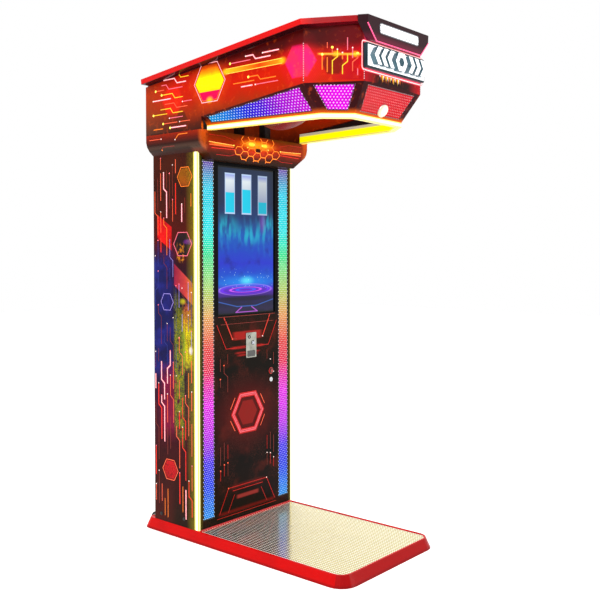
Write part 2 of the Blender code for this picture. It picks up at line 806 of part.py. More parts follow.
def make_roof():
    rail = mirrored(
        [(RAIL_HALF, ROOF_REAR_Y), (RAIL_HALF, RAIL_CORNER_Y), (RAIL_NOSE_HALF, NOSE_Y + ROOF_LEAN)]
    )
    inside = mirrored(
        [
            (RAIL_HALF - RAIL_WIDTH, ROOF_REAR_Y - RAIL_WIDTH),
            (RAIL_HALF - RAIL_WIDTH, RAIL_CORNER_Y + 0.45 * RAIL_WIDTH),
            (RAIL_NOSE_HALF - 0.45 * RAIL_WIDTH, NOSE_Y + RAIL_WIDTH),
        ]
    )
    top_rail = on_roof("top_rail", [rail, inside], 0, RAIL_THICKNESS, "red_paint")
    round_edges(top_rail, 0.002)
    panel = mirrored(
        [
            (HEAD_HALF - CLEAR, ROOF_REAR_Y),
            (HEAD_HALF - CLEAR, HEAD_CORNER_Y),
            (NOSE_HALF, NOSE_Y + ROOF_LEAN),
        ]
    )
    on_roof("roof_panel", [panel], RAIL_THICKNESS + CLEAR, ROOF_THICKNESS, "maroon_paint")


def make_head_shell():
    below = RAIL_THICKNESS + ROOF_THICKNESS + 2 * CLEAR
    rear = COLUMN_DEPTH

    def top(x, y):
        """A point above the shell's top edge, which is cut to the roof's slope below."""
        return Vector((x, y, roof_z(y, below - 0.005)))

    crease_rear = Vector((HEAD_HALF, FACET_REAR_Y, CREASE_REAR_Z))
    crease_corner = Vector((HEAD_HALF, HEAD_CORNER_Y, CREASE_CORNER_Z))
    crease_nose = Vector((NOSE_HALF, NOSE_Y, CREASE_NOSE_Z))
    foot_rear = Vector((RIM_REAR_HALF, FACET_REAR_Y, RIM_TOP))
    foot_corner = Vector((*RIM_CORNER, RIM_TOP))
    foot_nose = Vector((*RIM_NOSE, RIM_TOP))

    # Each face's corners turn right, seen from outside.
    faces = [
        [top(HEAD_HALF, rear), top(0, rear), Vector((0, rear, CHEEK_LOW)), Vector((HEAD_HALF, rear, CHEEK_LOW))],
        [
            top(HEAD_HALF, rear),
            Vector((HEAD_HALF, rear, CHEEK_LOW)),
            Vector((HEAD_HALF, FACET_REAR_Y, CHEEK_LOW)),
            crease_rear,
            crease_corner,
            top(HEAD_HALF, HEAD_CORNER_Y),
        ],
        [top(HEAD_HALF, HEAD_CORNER_Y), crease_corner, crease_nose, top(NOSE_HALF, NOSE_Y)],
        [top(NOSE_HALF, NOSE_Y), crease_nose, Vector((0, NOSE_Y, CREASE_NOSE_Z)), top(0, NOSE_Y)],
        [crease_rear, foot_rear, foot_corner, crease_corner],
        [crease_corner, foot_corner, foot_nose, crease_nose],
        [crease_nose, foot_nose, Vector((0, RIM_NOSE[1], RIM_TOP)), Vector((0, NOSE_Y, CREASE_NOSE_Z))],
    ]
    bm = bmesh.new()
    for face in faces:
        bm.faces.new([bm.verts.new(corner) for corner in reversed(face)])
    bmesh.ops.remove_doubles(bm, verts=bm.verts, dist=0.00001)
    shell = from_bmesh("head_shell", bm, "printed_panel")
    mirror = shell.modifiers.new("both_halves", "MIRROR")
    mirror.merge_threshold = 0.00001
    wall = shell.modifiers.new("wall", "SOLIDIFY")
    wall.thickness = HEAD_WALL
    wall.offset = -1
    wall.use_even_offset = True
    everywhere = rectangle(-0.5, 0.5, -1.0, 0.5)
    cut(shell, on_roof("roof_room", [everywhere], below - 0.050, 0.050))

    nose_left = [Vector((-v.x, v.y, v.z)) for v in (crease_nose, foot_nose)]
    facets = {
        "mesh_side": [crease_rear, foot_rear, foot_corner, crease_corner],
        "mesh_corner": [crease_corner, foot_corner, foot_nose, crease_nose],
    }
    for name, corners in facets.items():
        for side, sign in both_sides():
            turned_corners = [Vector((sign * v.x, v.y, v.z)) for v in corners]
            if sign < 0:
                a, b, c, d = turned_corners
                turned_corners = [d, c, b, a]
            make_mesh_panel(f"{name}_{side}", turned_corners, shell)
    make_mesh_panel("mesh_front", [crease_nose, foot_nose, nose_left[1], nose_left[0]], shell)


def make_mesh_panel(name, corners, shell):
    """A lit mesh panel let into one lower facet. Corners run crease, rim, rim, crease, seen from outside
    with the rim below, from the viewer's right to left."""
    a, b, c, d = corners
    x_axis = (b - c).normalized()
    normal = (d - a).cross(b - a).normalized()
    if normal.z > 0:
        normal = -normal
    y_axis = normal.cross(x_axis)
    place = (b + c) / 2

    def local(point):
        offset = point - place
        return Vector((offset.dot(x_axis), offset.dot(y_axis)))

    facet = [local(p) for p in (c, b, a, d)]
    window = inset_outline(facet, [PANEL_MARGIN, PANEL_END_MARGIN, PANEL_MARGIN, PANEL_END_MARGIN])
    panel = inset_outline(window, [CLEAR] * 4)
    plate(
        name, [panel], PANEL_THICKNESS, place - normal * PANEL_RECESS, x_axis, y_axis, "led_mesh"
    )
    tool = plate(f"{name}_window", [window], 0.060, place + normal * 0.030, x_axis, y_axis)
    cut(shell, tool)


def inset_outline(points, margins):
    """An outline turning left, moved inwards by each side's own margin."""
    count = len(points)
    lines = []
    for i, margin in enumerate(margins):
        start, end = Vector(points[i]), Vector(points[(i + 1) % count])
        along = (end - start).normalized()
        lines.append((start + Vector((-along.y, along.x)) * margin, along))
    corners = []
    for i in range(count):
        (p, u), (q, v) = lines[i - 1], lines[i]
        reach = ((q.x - p.x) * v.y - (q.y - p.y) * v.x) / (u.x * v.y - u.y * v.x)
        corners.append(tuple(p + u * reach))
    return corners


def rim_outline(inset):
    """The lower rim's U in X and Y, from the rear right round the nose to the rear left, moved inwards."""
    half = [(RIM_REAR_HALF, FACET_REAR_Y), RIM_CORNER, RIM_NOSE]
    path = [Vector(p) for p in half] + [Vector((-x, y)) for x, y in reversed(half)]
    shifted = []
    for i, point in enumerate(path):
        before = path[max(i - 1, 0)]
        after = path[min(i + 1, len(path) - 1)]
        u = (point - before).normalized() if i else (after - point).normalized()
        v = (after - point).normalized() if i < len(path) - 1 else u
        inwards_u, inwards_v = Vector((-u.y, u.x)), Vector((-v.y, v.x))
        inwards = (inwards_u + inwards_v).normalized()
        shifted.append(point - inwards * (inset / inwards.dot(inwards_u)))
    for end, neighbour in ((0, 1), (-1, -2)):
        along = shifted[neighbour] - shifted[end]
        shifted[end] += along * ((FACET_REAR_Y - shifted[end].y) / along.y)
    return [tuple(p) for p in shifted]


def make_rim():
    light = [*rim_outline(0), *reversed(rim_outline(RIM_LIGHT_WIDTH))]
    lying("rim_light", [light], RIM_LOW, RIM_TOP - CLEAR, "light_diffuser")
    inner = RIM_LIGHT_WIDTH + CLEAR
    frame = [*rim_outline(inner), *reversed(rim_outline(inner + RIM_FRAME_WIDTH))]
    lying("rim_frame", [frame], RIM_LOW + 0.001, RIM_FRAME_HIGH, "zinc_steel")


def make_collar():
    half = [
        (HEAD_HALF, COLUMN_TOP),
        (HEAD_HALF, 1.836),
        (0.357, 1.814),
        (0.343, 1.795),
        (0.279, COLLAR_LOW),
    ]
    depth = COLUMN_DEPTH - COLLAR_FRONT
    collar = facing_front("collar", [mirrored(half)], depth, COLLAR_FRONT, "printed_panel")
    column_room = box(
        "column_room",
        (-COLUMN_HALF - 0.0005, -0.0005, 1.6),
        (COLUMN_HALF + 0.0005, 0.400, 2.0),
    )
    pocket = box("collar_pocket", (-0.300, COLLAR_FRONT + 0.014, 1.790), (0.300, -0.012, 2.0))
    lean = facing_front(
        "collar_lean", [rectangle(-0.5, 0.5, -0.2, 0.0)], 0.100, 0
    )
    slope = math.atan2(0.019, 0.055)
    lean.matrix_basis = (
        Matrix.Translation((0, COLLAR_FRONT, 1.796))
        @ Matrix.Rotation(slope, 4, "X")
        @ Matrix.Translation((0, -0.100, 0))
        @ lean.matrix_basis
    )
    cut(collar, column_room, pocket, lean)


def make_visor_and_sign():
    rear_y = NOSE_Y - 2 * CLEAR
    depth = rear_y - VISOR_FRONT
    front = [(0.161, 2.162), (0.219, 2.222), (0.221, roof_z(VISOR_FRONT))]
    back = [(0.189, 2.162), (0.2466, 2.222), (0.2486, roof_z(rear_y))]
    rings = []
    for half, y in ((back, rear_y), (front, VISOR_FRONT)):
        outline = mirrored(half)
        rings.append([(x, y, z) for x, z in outline])
    visor = loft("visor", rings, "maroon_paint")
    window = rounded(rectangle(-0.142, 0.142, 2.192, 2.235), 0.012, 4)
    cut(visor, facing_front("visor_window", [window], 0.012, VISOR_FRONT - 0.006))
    lamp = rounded(rectangle(-0.142 + CLEAR, 0.142 - CLEAR, 2.192 + CLEAR, 2.235 - CLEAR), 0.0117, 4)
    facing_front("visor_light", [lamp], 0.005, VISOR_FRONT - 0.001, "light_diffuser")

    plate_outline = rounded(rectangle(-SIGN_HALF, SIGN_HALF, SIGN_LOW, SIGN_HIGH), 0.008, 3)
    sign_back = NOSE_Y - CLEAR
    facing_front("sign_plate", [plate_outline], 0.014, sign_back - 0.014, "sign_teal")
    make_emblem(sign_back - 0.014 - CLEAR)


def hexagon(x, z, radius):
    return [
        (x + radius * math.cos(math.radians(60 * k)), z + radius * math.sin(math.radians(60 * k)))
        for k in range(6)
    ]


def chevron(x, z, half_height, thickness, direction):
    """A broad arrowhead pointing along direction in X."""
    tip = direction * half_height * 0.7
    points = [
        (x, z - half_height),
        (x + direction * thickness, z - half_height),
        (x + direction * thickness + tip, z),
        (x + direction * thickness, z + half_height),
        (x, z + half_height),
        (x + tip, z),
    ]
    return points if direction > 0 else points[::-1]


def make_emblem(back):
    """Chunky raised shapes standing on one thin sheet: chevrons on each side of a row of hexagons."""
    middle = (SIGN_LOW + SIGN_HIGH) / 2
    sheet = rectangle(-0.204, 0.204, SIGN_LOW + 0.008, SIGN_HIGH - 0.008)
    emblem = facing_front("sign_emblem", [sheet], 0.003, back - 0.003, "sign_white")
    shapes = [hexagon(0, middle, 0.042), hexagon(0, middle, 0.020)]
    for direction in (-1, 1):
        shapes += [chevron(direction * (0.052 + 0.044 * k), middle, 0.034, 0.026, direction) for k in range(3)]
    join(emblem, facing_front("emblem_shapes", shapes, 0.025, back - 0.0265))


def make_front_lamp():
    """Round lamp on the front lower facet."""
    drop = (CREASE_NOSE_Z - RIM_TOP) / (RIM_NOSE[1] - NOSE_Y)
    normal = Vector((0, -drop, -1)).normalized()
    centre_z = 1.913
    face = Vector((0, RIM_NOSE[1] - (centre_z - RIM_TOP) / drop, centre_z))
    profile = [(0, 0.012), (0.012, 0.012), (0.022, 0.010), (0.027, 0.006), (0.028, 0), (0, 0)]
    turned("front_lamp", profile, towards(normal, face + normal * CLEAR), "light_diffuser", 32)


def make_head_frame():
    """Welded square tube: two rails under the roof, cross members and four posts down into the column."""
    low, high = FRAME_Z, FRAME_Z + FRAME_BAR
    near, far = FRAME_RAIL_X, FRAME_RAIL_X + FRAME_BAR
    frame = box("head_frame", (-far, 0.240, low), (far, 0.280, high), "zinc_steel")
    bars = []
    for side, sign in both_sides():
        left, right = sorted((sign * near, sign * far))
        bars.append(box(f"frame_rail_{side}", (left, -0.700, low), (right, 0.270, high - 0.0001)))
        for number, y in enumerate((0.060, 0.2401)):
            bars.append(
                box(f"frame_post_{side}_{number}", (left + 0.0001, y, 1.500), (right - 0.0001, y + 0.0398, low + 0.01))
            )
    for number, y in enumerate((-0.7002, -0.040)):
        bars.append(box(f"frame_cross_{number}", (-near - 0.01, y, low + 0.0001), (near + 0.01, y + 0.040, high)))
    join(frame, *bars)


def make_ball_drive():
    for side, sign in both_sides():
        ends = sorted((sign * 0.150, sign * (FRAME_RAIL_X - CLEAR)))
        block = box(
            f"bearing_block_{side}",
            (ends[0], PIVOT.y - 0.040, PIVOT.z - 0.040),
            (ends[1], PIVOT.y + 0.040, PIVOT.z + 0.040),
            "zinc_steel",
            bevel=0.004,
        )
        bore = cylinder(
            f"bearing_bore_{side}",
            (sign * 0.140, PIVOT.y, PIVOT.z),
            (sign * 0.200, PIVOT.y, PIVOT.z),
            AXLE_RADIUS + 0.0005,
        )
        cut(block, bore)

    arm = cylinder(
        "swing_arm",
        (-AXLE_HALF, PIVOT.y, PIVOT.z),
        (AXLE_HALF, PIVOT.y, PIVOT.z),
        AXLE_RADIUS,
        "zinc_steel",
    )
    tube = cylinder("arm_tube", PIVOT - ARM * 0.026, PIVOT + ARM * (ARM_LENGTH - 0.004), ARM_RADIUS)
    flange = cylinder("arm_flange", PIVOT + ARM * (ARM_LENGTH - 0.008), PIVOT + ARM * ARM_LENGTH, 0.045)
    latch = PIVOT + ARM * LATCH_ALONG
    lug = cylinder("latch_lug", latch, latch + Vector((0.034, 0, 0)), 0.012)
    lug_hole = cylinder(
        "latch_hole", latch + Vector((0.0205, 0, 0)), latch + Vector((0.040, 0, 0)), 0.0050, None, 24
    )
    join(arm, tube, flange, lug)
    cut(arm, lug_hole)
    move_origin(arm, PIVOT)

    ball = turned(
        "punch_ball", ball_profile(), towards(-ARM, PIVOT + ARM * (ARM_LENGTH + CLEAR)), "red_leather", 36
    )
    carried_by("ball_pivot", PIVOT, arm, ball)

    coil = cylinder(
        "latch_coil",
        latch + Vector((0.120, 0, 0)),
        (FRAME_RAIL_X - CLEAR, latch.y, latch.z),
        0.016,
        "zinc_steel",
    )
    coil_bore = cylinder(
        "coil_bore", latch + Vector((0.110, 0, 0)), latch + Vector((0.182, 0, 0)), 0.0046, None, 24
    )
    cut(coil, coil_bore)
    cylinder(
        "latch_plunger",
        latch + Vector((0.037, 0, 0)),
        latch + Vector((0.160, 0, 0)),
        0.0040,
        "chrome",
        24,
    )
    top = PIVOT + ARM * (ARM_LENGTH + BALL_LENGTH / 2)
    pad = [(0, 0.022), (0.030, 0.022), (0.030, 0.008), (0.024, 0), (0, 0)]
    turned("bump_stop", pad, Matrix.Translation((0, top.y, 2.1285)), "black_rubber", 24)


def ball_profile(steps=14):
    """A blunt pear: flat where it meets the flange, widest just past the middle, round at its far end."""
    points = [(0, 0), (BALL_NECK, 0)]
    for k in range(1, steps):
        t = k / steps
        angle = math.pi * t
        depth = -BALL_LENGTH * (1 - math.cos(angle)) / 2
        width = math.sin(angle) ** 0.62
        blend = (1 - t) ** 3
        points.append((BALL_RADIUS * width * (1 - blend) + max(BALL_NECK, BALL_RADIUS * width) * blend, depth))
    return [*points, (0, -BALL_LENGTH)]


def make_machine():
    make_base()
    make_column_shell()
    make_rear()
    make_service_door()
    make_column_contents()
    make_collar()
    make_head_shell()
    make_roof()
    make_rim()
    make_visor_and_sign()
    make_front_lamp()
    make_head_frame()
    make_ball_drive()


clear_scene()
PARTS = new_collection("boxing_punch_machine")
TOOLS = new_collection("cutting_and_joining_tools")
make_machine()
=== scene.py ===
"""The looks of an arcade boxing punch machine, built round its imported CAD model.

A printed cabinet stands at the rear of a red-edged platform. It carries a cantilevered head, from
which a leather ball swings down to be punched. The cabinet's prints, lights, perforated light panels,
screen, sign, leather and metal are made here. Sizes in the art tables are millimetres in the model's
own frame: X to the machine's left and right, Y towards the back, Z up, with the origin on the floor
under the middle of the column's front face.
"""

import math
import random

import bmesh
import bpy
import numpy as np
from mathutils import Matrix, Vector
from mathutils.bvhtree import BVHTree


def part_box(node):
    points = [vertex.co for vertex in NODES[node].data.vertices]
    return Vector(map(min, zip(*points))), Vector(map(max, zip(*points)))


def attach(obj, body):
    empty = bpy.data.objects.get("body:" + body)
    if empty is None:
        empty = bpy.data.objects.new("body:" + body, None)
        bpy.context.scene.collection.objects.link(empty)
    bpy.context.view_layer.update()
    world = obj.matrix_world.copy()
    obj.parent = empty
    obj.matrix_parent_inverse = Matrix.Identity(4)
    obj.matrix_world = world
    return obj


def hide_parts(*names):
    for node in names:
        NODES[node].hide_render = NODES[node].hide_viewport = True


MM = 0.001
SIDES = (("left", -1), ("right", 1))
COLUMN_HALF = 320  # half the column's width
HEAD_HALF, HEAD_CORNER_Y = 363, -660  # half the head's width, and where its sides turn in to the nose
NOSE_HALF, NOSE_Y = 204, -840
ACROSS, UP, BACK, FRONT = (1, 0, 0), (0, 0, 1), (0, 1, 0), (0, -1, 0)

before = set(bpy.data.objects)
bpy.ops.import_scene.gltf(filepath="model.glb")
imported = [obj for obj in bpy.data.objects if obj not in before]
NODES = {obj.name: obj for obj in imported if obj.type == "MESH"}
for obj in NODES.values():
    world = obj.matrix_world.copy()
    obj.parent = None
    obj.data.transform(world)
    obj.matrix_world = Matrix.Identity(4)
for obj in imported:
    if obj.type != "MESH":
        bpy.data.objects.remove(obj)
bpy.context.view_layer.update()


# ---------------------------------------------------------------- colour and shader toolkit


def srgb(red, green, blue):
    """The linear colour of three 8-bit display values."""
    values = (red / 255, green / 255, blue / 255)
    linear = [v / 12.92 if v <= 0.04045 else ((v + 0.055) / 1.055) ** 2.4 for v in values]
    return (*linear, 1.0)


class Field:
    """A number that varies over a surface, held as a shader socket and used with plain arithmetic."""

    def __init__(self, paint, socket):
        self.paint = paint
        self.socket = socket

    def __add__(self, other):
        return self.paint.math("ADD", self, other)

    def __sub__(self, other):
        return self.paint.math("SUBTRACT", self, other)

    def __rsub__(self, other):
        return self.paint.math("SUBTRACT", other, self)

    def __mul__(self, other):
        return self.paint.math("MULTIPLY", self, other)

    def __truediv__(self, other):
        return self.paint.math("DIVIDE", self, other)

    def __abs__(self):
        return self.paint.math("ABSOLUTE", self)

    __radd__ = __add__
    __rmul__ = __mul__

    def least(self, other):
        return self.paint.math("MINIMUM", self, other)

    def most(self, other):
        return self.paint.math("MAXIMUM", self, other)

    def wave(self, length):
        """A sine of the field with that wavelength, from -1 to 1."""
        return self.paint.math("SINE", self * (2 * math.pi / length))

    def above(self, edge, soft=0.4):
        """1 above the edge and 0 below it, with a straight ramp soft wide on each side."""
        if isinstance(edge, Field):
            return (self - edge).above(0, soft)
        scale = 0.5 / soft
        return self.paint.math("MULTIPLY_ADD", self, scale, 0.5 - edge * scale, clamp=True)

    def below(self, edge, soft=0.4):
        return 1 - self.above(edge, soft)

    def between(self, low, high, soft=0.4):
        return self.above(low, soft) * self.below(high, soft)

    def fade(self, start, end):
        """A smooth change from 0 at start to 1 at end."""
        made = self.paint.node(
            "ShaderNodeMapRange",
            {"Value": self, "From Min": start, "From Max": end},
            interpolation_type="SMOOTHSTEP",
        )
        return Field(self.paint, made.outputs["Result"])


class Paint:
    """A node material made in code: colours laid one over another, then light, gloss and grain.
    Its x, y and z are millimetres in the machine's frame, on the machine at rest."""

    def __init__(self, name, base=(128, 128, 128)):
        self.material = bpy.data.materials.new(name)
        self.material.use_nodes = True
        self.tree = self.material.node_tree
        self.tree.nodes.clear()
        metres = self.node("ShaderNodeTexCoord").outputs["Object"]
        scaled = self.node(
            "ShaderNodeVectorMath", {0: metres, 1: (1000, 1000, 1000)}, operation="MULTIPLY"
        )
        self.place = scaled.outputs[0]
        parts = self.node("ShaderNodeSeparateXYZ", {0: self.place})
        self.x, self.y, self.z = (Field(self, socket) for socket in parts.outputs)
        self.colour = srgb(*base)
        self.light = 0.0

    def node(self, kind, inputs=None, **settings):
        made = self.tree.nodes.new(kind)
        for key, value in settings.items():
            setattr(made, key, value)
        for key, value in (inputs or {}).items():
            if isinstance(value, Field):
                value = value.socket
            if isinstance(value, bpy.types.NodeSocket):
                self.tree.links.new(value, made.inputs[key])
            else:
                made.inputs[key].default_value = value
        return made

    def math(self, operation, *terms, clamp=False):
        made = self.node(
            "ShaderNodeMath", dict(enumerate(terms)), operation=operation, use_clamp=clamp
        )
        return Field(self, made.outputs[0])

    def facing(self, way):
        """How far the surface faces a direction of the machine at rest: 1 straight at it, -1 away."""
        normal = self.node("ShaderNodeTexCoord").outputs["Normal"]
        made = self.node("ShaderNodeVectorMath", {0: normal, 1: way}, operation="DOT_PRODUCT")
        return Field(self, made.outputs["Value"])

    def noise(self, size, detail=3.0, stretch=(1, 1, 1), shift=0.0, distortion=0.0):
        """Cloudy variation from 0 to 1, in patches about size millimetres across."""
        where = self.node(
            "ShaderNodeVectorMath",
            {0: self.place, 1: stretch, 2: (shift, shift * 1.7, shift * 0.6)},
            operation="MULTIPLY_ADD",
        )
        made = self.node(
            "ShaderNodeTexNoise",
            {"Vector": where.outputs[0], "Scale": 1 / size, "Detail": detail, "Distortion": distortion},
        )
        return Field(self, made.outputs[0])

    def cells(self, size, feature="F1", stretch=(1, 1, 1)):
        """The distance from the middle of irregular cells, or from their walls, in cell sizes."""
        where = self.node(
            "ShaderNodeVectorMath", {0: self.place, 1: stretch}, operation="MULTIPLY"
        )
        made = self.node(
            "ShaderNodeTexVoronoi", {"Vector": where.outputs[0], "Scale": 1 / size}, feature=feature
        )
        return Field(self, made.outputs["Distance"])

    def ramp(self, along, stops):
        """The colour that runs through stops, each a value and its display colour."""
        low, high = stops[0][0], stops[-1][0]
        share = self.node("ShaderNodeMapRange", {"Value": along, "From Min": low, "From Max": high})
        made = self.node("ShaderNodeValToRGB", {0: share.outputs["Result"]})
        elements = made.color_ramp.elements
        while len(elements) < len(stops):
            elements.new(0.5)
        for element, (value, _) in zip(elements, stops):
            element.position = (value - low) / (high - low)
        for element, (_, colour) in zip(elements, stops):
            element.color = srgb(*colour)
        return made.outputs["Color"]

    def mix(self, share, under, over):
        made = self.node("ShaderNodeMix", {0: share, 6: under, 7: over}, data_type="RGBA")
        return made.outputs[2]

    def blend(self, share, under, over):
        """A number that goes from under to over as share goes from 0 to 1."""
        made = self.node("ShaderNodeMix", {0: share, 2: under, 3: over}, data_type="FLOAT")
        return Field(self, made.outputs[0])

    def lay(self, mask, colour, light=None):
        """Lays a colour over what is there where mask is 1. Light is how brightly it glows."""
        over = srgb(*colour) if isinstance(colour, tuple) and len(colour) == 3 else colour
        self.colour = self.mix(mask, self.colour, over)
        if light is not None:
            self.light = self.blend(mask, self.light, light)

    def polygon(self, u, v, points, soft=0.6):
        """1 inside a convex polygon of (u, v) points, with soft edges."""
        centre = (sum(p[0] for p in points) / len(points), sum(p[1] for p in points) / len(points))
        planes = []
        for (u0, v0), (u1, v1) in zip(points, points[1:] + points[:1]):
            a, b = v1 - v0, u0 - u1
            length = math.hypot(a, b)
            a, b = a / length, b / length
            if a * (centre[0] - u0) + b * (centre[1] - v0) > 0:
                a, b = -a, -b
            planes.append((a, b, -a * u0 - b * v0))
        while len(planes) % 3:
            planes.append(planes[-1])
        outside = None
        for i in range(0, len(planes), 3):
            a, b, c = zip(*planes[i : i + 3])
            first = self.node("ShaderNodeVectorMath", {0: u, 1: a, 2: c}, operation="MULTIPLY_ADD")
            both = self.node(
                "ShaderNodeVectorMath", {0: v, 1: b, 2: first.outputs[0]}, operation="MULTIPLY_ADD"
            )
            if outside is None:
                outside = both.outputs[0]
            else:
                outside = self.node(
                    "ShaderNodeVectorMath", {0: outside, 1: both.outputs[0]}, operation="MAXIMUM"
                ).outputs[0]
        parts = [Field(self, s) for s in self.node("ShaderNodeSeparateXYZ", {0: outside}).outputs]
        return parts[0].most(parts[1]).most(parts[2]).below(0, soft)

    def reach(self, across, up):
        """The length of a vector with those two parts."""
        return self.math("SQRT", across * across + up * up)

    def spot(self, u, v, centre, radii, soft=0.3):
        """1 inside an ellipse, fading over a share soft of its radius."""
        away = self.reach((u - centre[0]) / radii[0], (v - centre[1]) / radii[1])
        return away.fade(1 + soft, 1 - soft)

    def ring(self, u, v, centre, radii, width, soft=0.02):
        """1 on an ellipse's outline, within a share width of its radius."""
        away = self.reach((u - centre[0]) / radii[0], (v - centre[1]) / radii[1])
        return abs(away - 1).below(width, soft)

    def stroke(self, u, v, start, end, half, soft):
        """1 within half a width of the straight line from start to end, fading over soft."""
        du, dv = end[0] - start[0], end[1] - start[1]
        length = math.hypot(du, dv)
        du, dv = du / length, dv / length
        along = (u - start[0]) * du + (v - start[1]) * dv
        across = (u - start[0]) * dv - (v - start[1]) * du
        beyond = (abs(along - length / 2) - length / 2).most(0)
        away = self.reach(beyond, across)
        return away.fade(half + soft, half)

    def finish(
        self, roughness=0.4, metallic=0.0, coat=0.0, coat_roughness=0.06, specular=0.5,
        bump=None, depth=0.1, sheen=0.0, glow=None, transmission=0.0, anisotropic=0.0,
    ):
        """Ends the material. Depth is how far, in millimetres, the bump field's 0 to 1 stands up."""
        inputs = {
            "Base Color": self.colour,
            "Roughness": roughness,
            "Metallic": metallic,
            "Specular IOR Level": specular,
            "Coat Weight": coat,
            "Coat Roughness": coat_roughness,
            "Sheen Weight": sheen,
            "Transmission Weight": transmission,
            "Anisotropic": anisotropic,
            "Emission Color": self.colour if glow is None else glow,
            "Emission Strength": self.light,
        }
        if bump is not None:
            made = self.node("ShaderNodeBump", {"Height": bump, "Distance": depth * MM})
            inputs["Normal"] = made.outputs[0]
        shader = self.node("ShaderNodeBsdfPrincipled", inputs)
        output = self.node("ShaderNodeOutputMaterial", {0: shader.outputs[0]})
        output.is_active_output = True
        return self.material


def gloss(paint, middle, spread=0.1, size=60):
    """A roughness that wanders round its middle value, as handling and cleaning leave it."""
    return paint.noise(size, 4, shift=31) * (2 * spread) + (middle - spread)


# ---------------------------------------------------------------- mesh toolkit


def add_piece(name, bm, body, materials, smooth_angle=None):
    """Makes a shown piece from a bmesh in the machine's frame, and lets it ride on a body."""
    bmesh.ops.recalc_face_normals(bm, faces=bm.faces)
    mesh = bpy.data.meshes.new(name)
    bm.to_mesh(mesh)
    bm.free()
    obj = bpy.data.objects.new(name, mesh)
    bpy.context.scene.collection.objects.link(obj)
    for material in materials:
        mesh.materials.append(material)
    if smooth_angle is not None:
        mesh.shade_smooth()
        mesh.set_sharp_from_angle(angle=math.radians(smooth_angle))
    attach(obj, body)
    return obj


def coat(material, *names):
    """Gives CAD nodes a material. Their shape and place stay as they are."""
    for name in names:
        NODES[name].data.materials.clear()
        NODES[name].data.materials.append(material)


class Plane:
    """A flat face of the machine. Its u and v are millimetres, and h is the height above it."""

    def __init__(self, origin, u_axis, v_axis, normal):
        self.origin, self.u_axis = Vector(origin), Vector(u_axis)
        self.v_axis, self.normal = Vector(v_axis), Vector(normal)

    def at(self, u, v, h=0.0):
        return (self.origin + self.u_axis * u + self.v_axis * v + self.normal * h) * MM


class Draped:
    """A face that follows a CAD node's curved surface, seen along one direction."""

    def __init__(self, node, origin, u_axis, v_axis, towards):
        bm = bmesh.new()
        bm.from_mesh(NODES[node].data)
        self.tree = BVHTree.FromBMesh(bm)
        bm.free()
        self.origin, self.u_axis = Vector(origin), Vector(u_axis)
        self.v_axis, self.towards = Vector(v_axis), Vector(towards)

    def at(self, u, v, h=0.0):
        start = (self.origin + self.u_axis * u + self.v_axis * v) * MM - self.towards
        place, normal, _, _ = self.tree.ray_cast(start, self.towards)
        return place + normal * (h * MM)


def divided(points, step):
    """The same polyline with extra points, so that no stretch is longer than step."""
    out = [points[0]]
    for start, end in zip(points, points[1:]):
        count = max(1, math.ceil(math.dist(start, end) / step))
        for i in range(1, count + 1):
            share = i / count
            out.append(tuple(a + (b - a) * share for a, b in zip(start, end)))
    return out


def around(side, up, turn):
    """The direction at an angle from side towards up."""
    return side * math.cos(turn) + up * math.sin(turn)


def add_solid_strip(bm, sections, index=0, closed=False):
    """Skins a row of equal rings of points into one closed body."""
    rings = [[bm.verts.new(p) for p in section] for section in sections]
    pairs = list(zip(rings, rings[1:] + (rings[:1] if closed else [])))
    size = len(rings[0])
    faces = [
        bm.faces.new((first[i], first[(i + 1) % size], second[(i + 1) % size], second[i]))
        for first, second in pairs
        for i in range(size)
    ]
    if not closed:
        faces += [bm.faces.new(rings[0][::-1]), bm.faces.new(rings[-1])]
    for face in faces:
        face.material_index = index


INK_FOOT = -0.1  # raised ink starts a little below the face it stands on
SHOULDER = 0.7  # the height of its rounded edge, as a share of its lift


def add_line(bm, surface, points, width, lift, index, step=None):
    """Raised ink along a polyline on a surface, mitred at its corners."""
    ends = [Vector(p) for p in (divided(points, step) if step else points)]
    profile = (
        (1, INK_FOOT), (-1, INK_FOOT), (-1, lift * SHOULDER), (-0.7, lift), (0.7, lift), (1, lift * SHOULDER),
    )
    sections = []
    for i, p in enumerate(ends):
        ways = []
        if i:
            ways.append((p - ends[i - 1]).normalized())
        if i < len(ends) - 1:
            ways.append((ends[i + 1] - p).normalized())
        normals = [Vector((-w.y, w.x)) for w in ways]
        middle = sum(normals, Vector((0, 0)))
        middle = middle.normalized() if middle.length > 1e-6 else normals[0]
        mitre = min(1 / max(0.3, middle.dot(normals[0])), 2.0)
        half = middle * (width / 2 * mitre)
        sections.append([surface.at(*(p + half * side), h) for side, h in profile])
    add_solid_strip(bm, sections, index)


def add_dot(bm, surface, centre, radius, lift, index, sides=12):
    """A small raised disc of ink with a rounded rim."""
    turns = [2 * math.pi * k / sides for k in range(sides)]
    rings = [
        [
            surface.at(centre[0] + radius * r * math.cos(turn), centre[1] + radius * r * math.sin(turn), h)
            for turn in turns
        ]
        for r, h in ((1, INK_FOOT), (1, lift * SHOULDER), (0.8, lift))
    ]
    add_solid_strip(bm, rings, index)


def add_patch(bm, surface, points, lift, index):
    """A raised flat patch of ink with that outline."""
    add_solid_strip(bm, [[surface.at(u, v, h) for u, v in points] for h in (INK_FOOT, lift)], index)


# ---------------------------------------------------------------- camera, light and floor


def add_camera():
    data = bpy.data.cameras.new("camera")
    data.sensor_width = 36.0
    data.lens = 50.386
    data.shift_y = -0.0361
    data.clip_end = 60
    camera = bpy.data.objects.new("camera", data)
    camera.location = (-2.90866, -2.81376, 1.32285)
    camera.rotation_euler = [math.radians(a) for a in (88.215, 0.0, -49.534)]
    bpy.context.scene.collection.objects.link(camera)
    bpy.context.scene.camera = camera


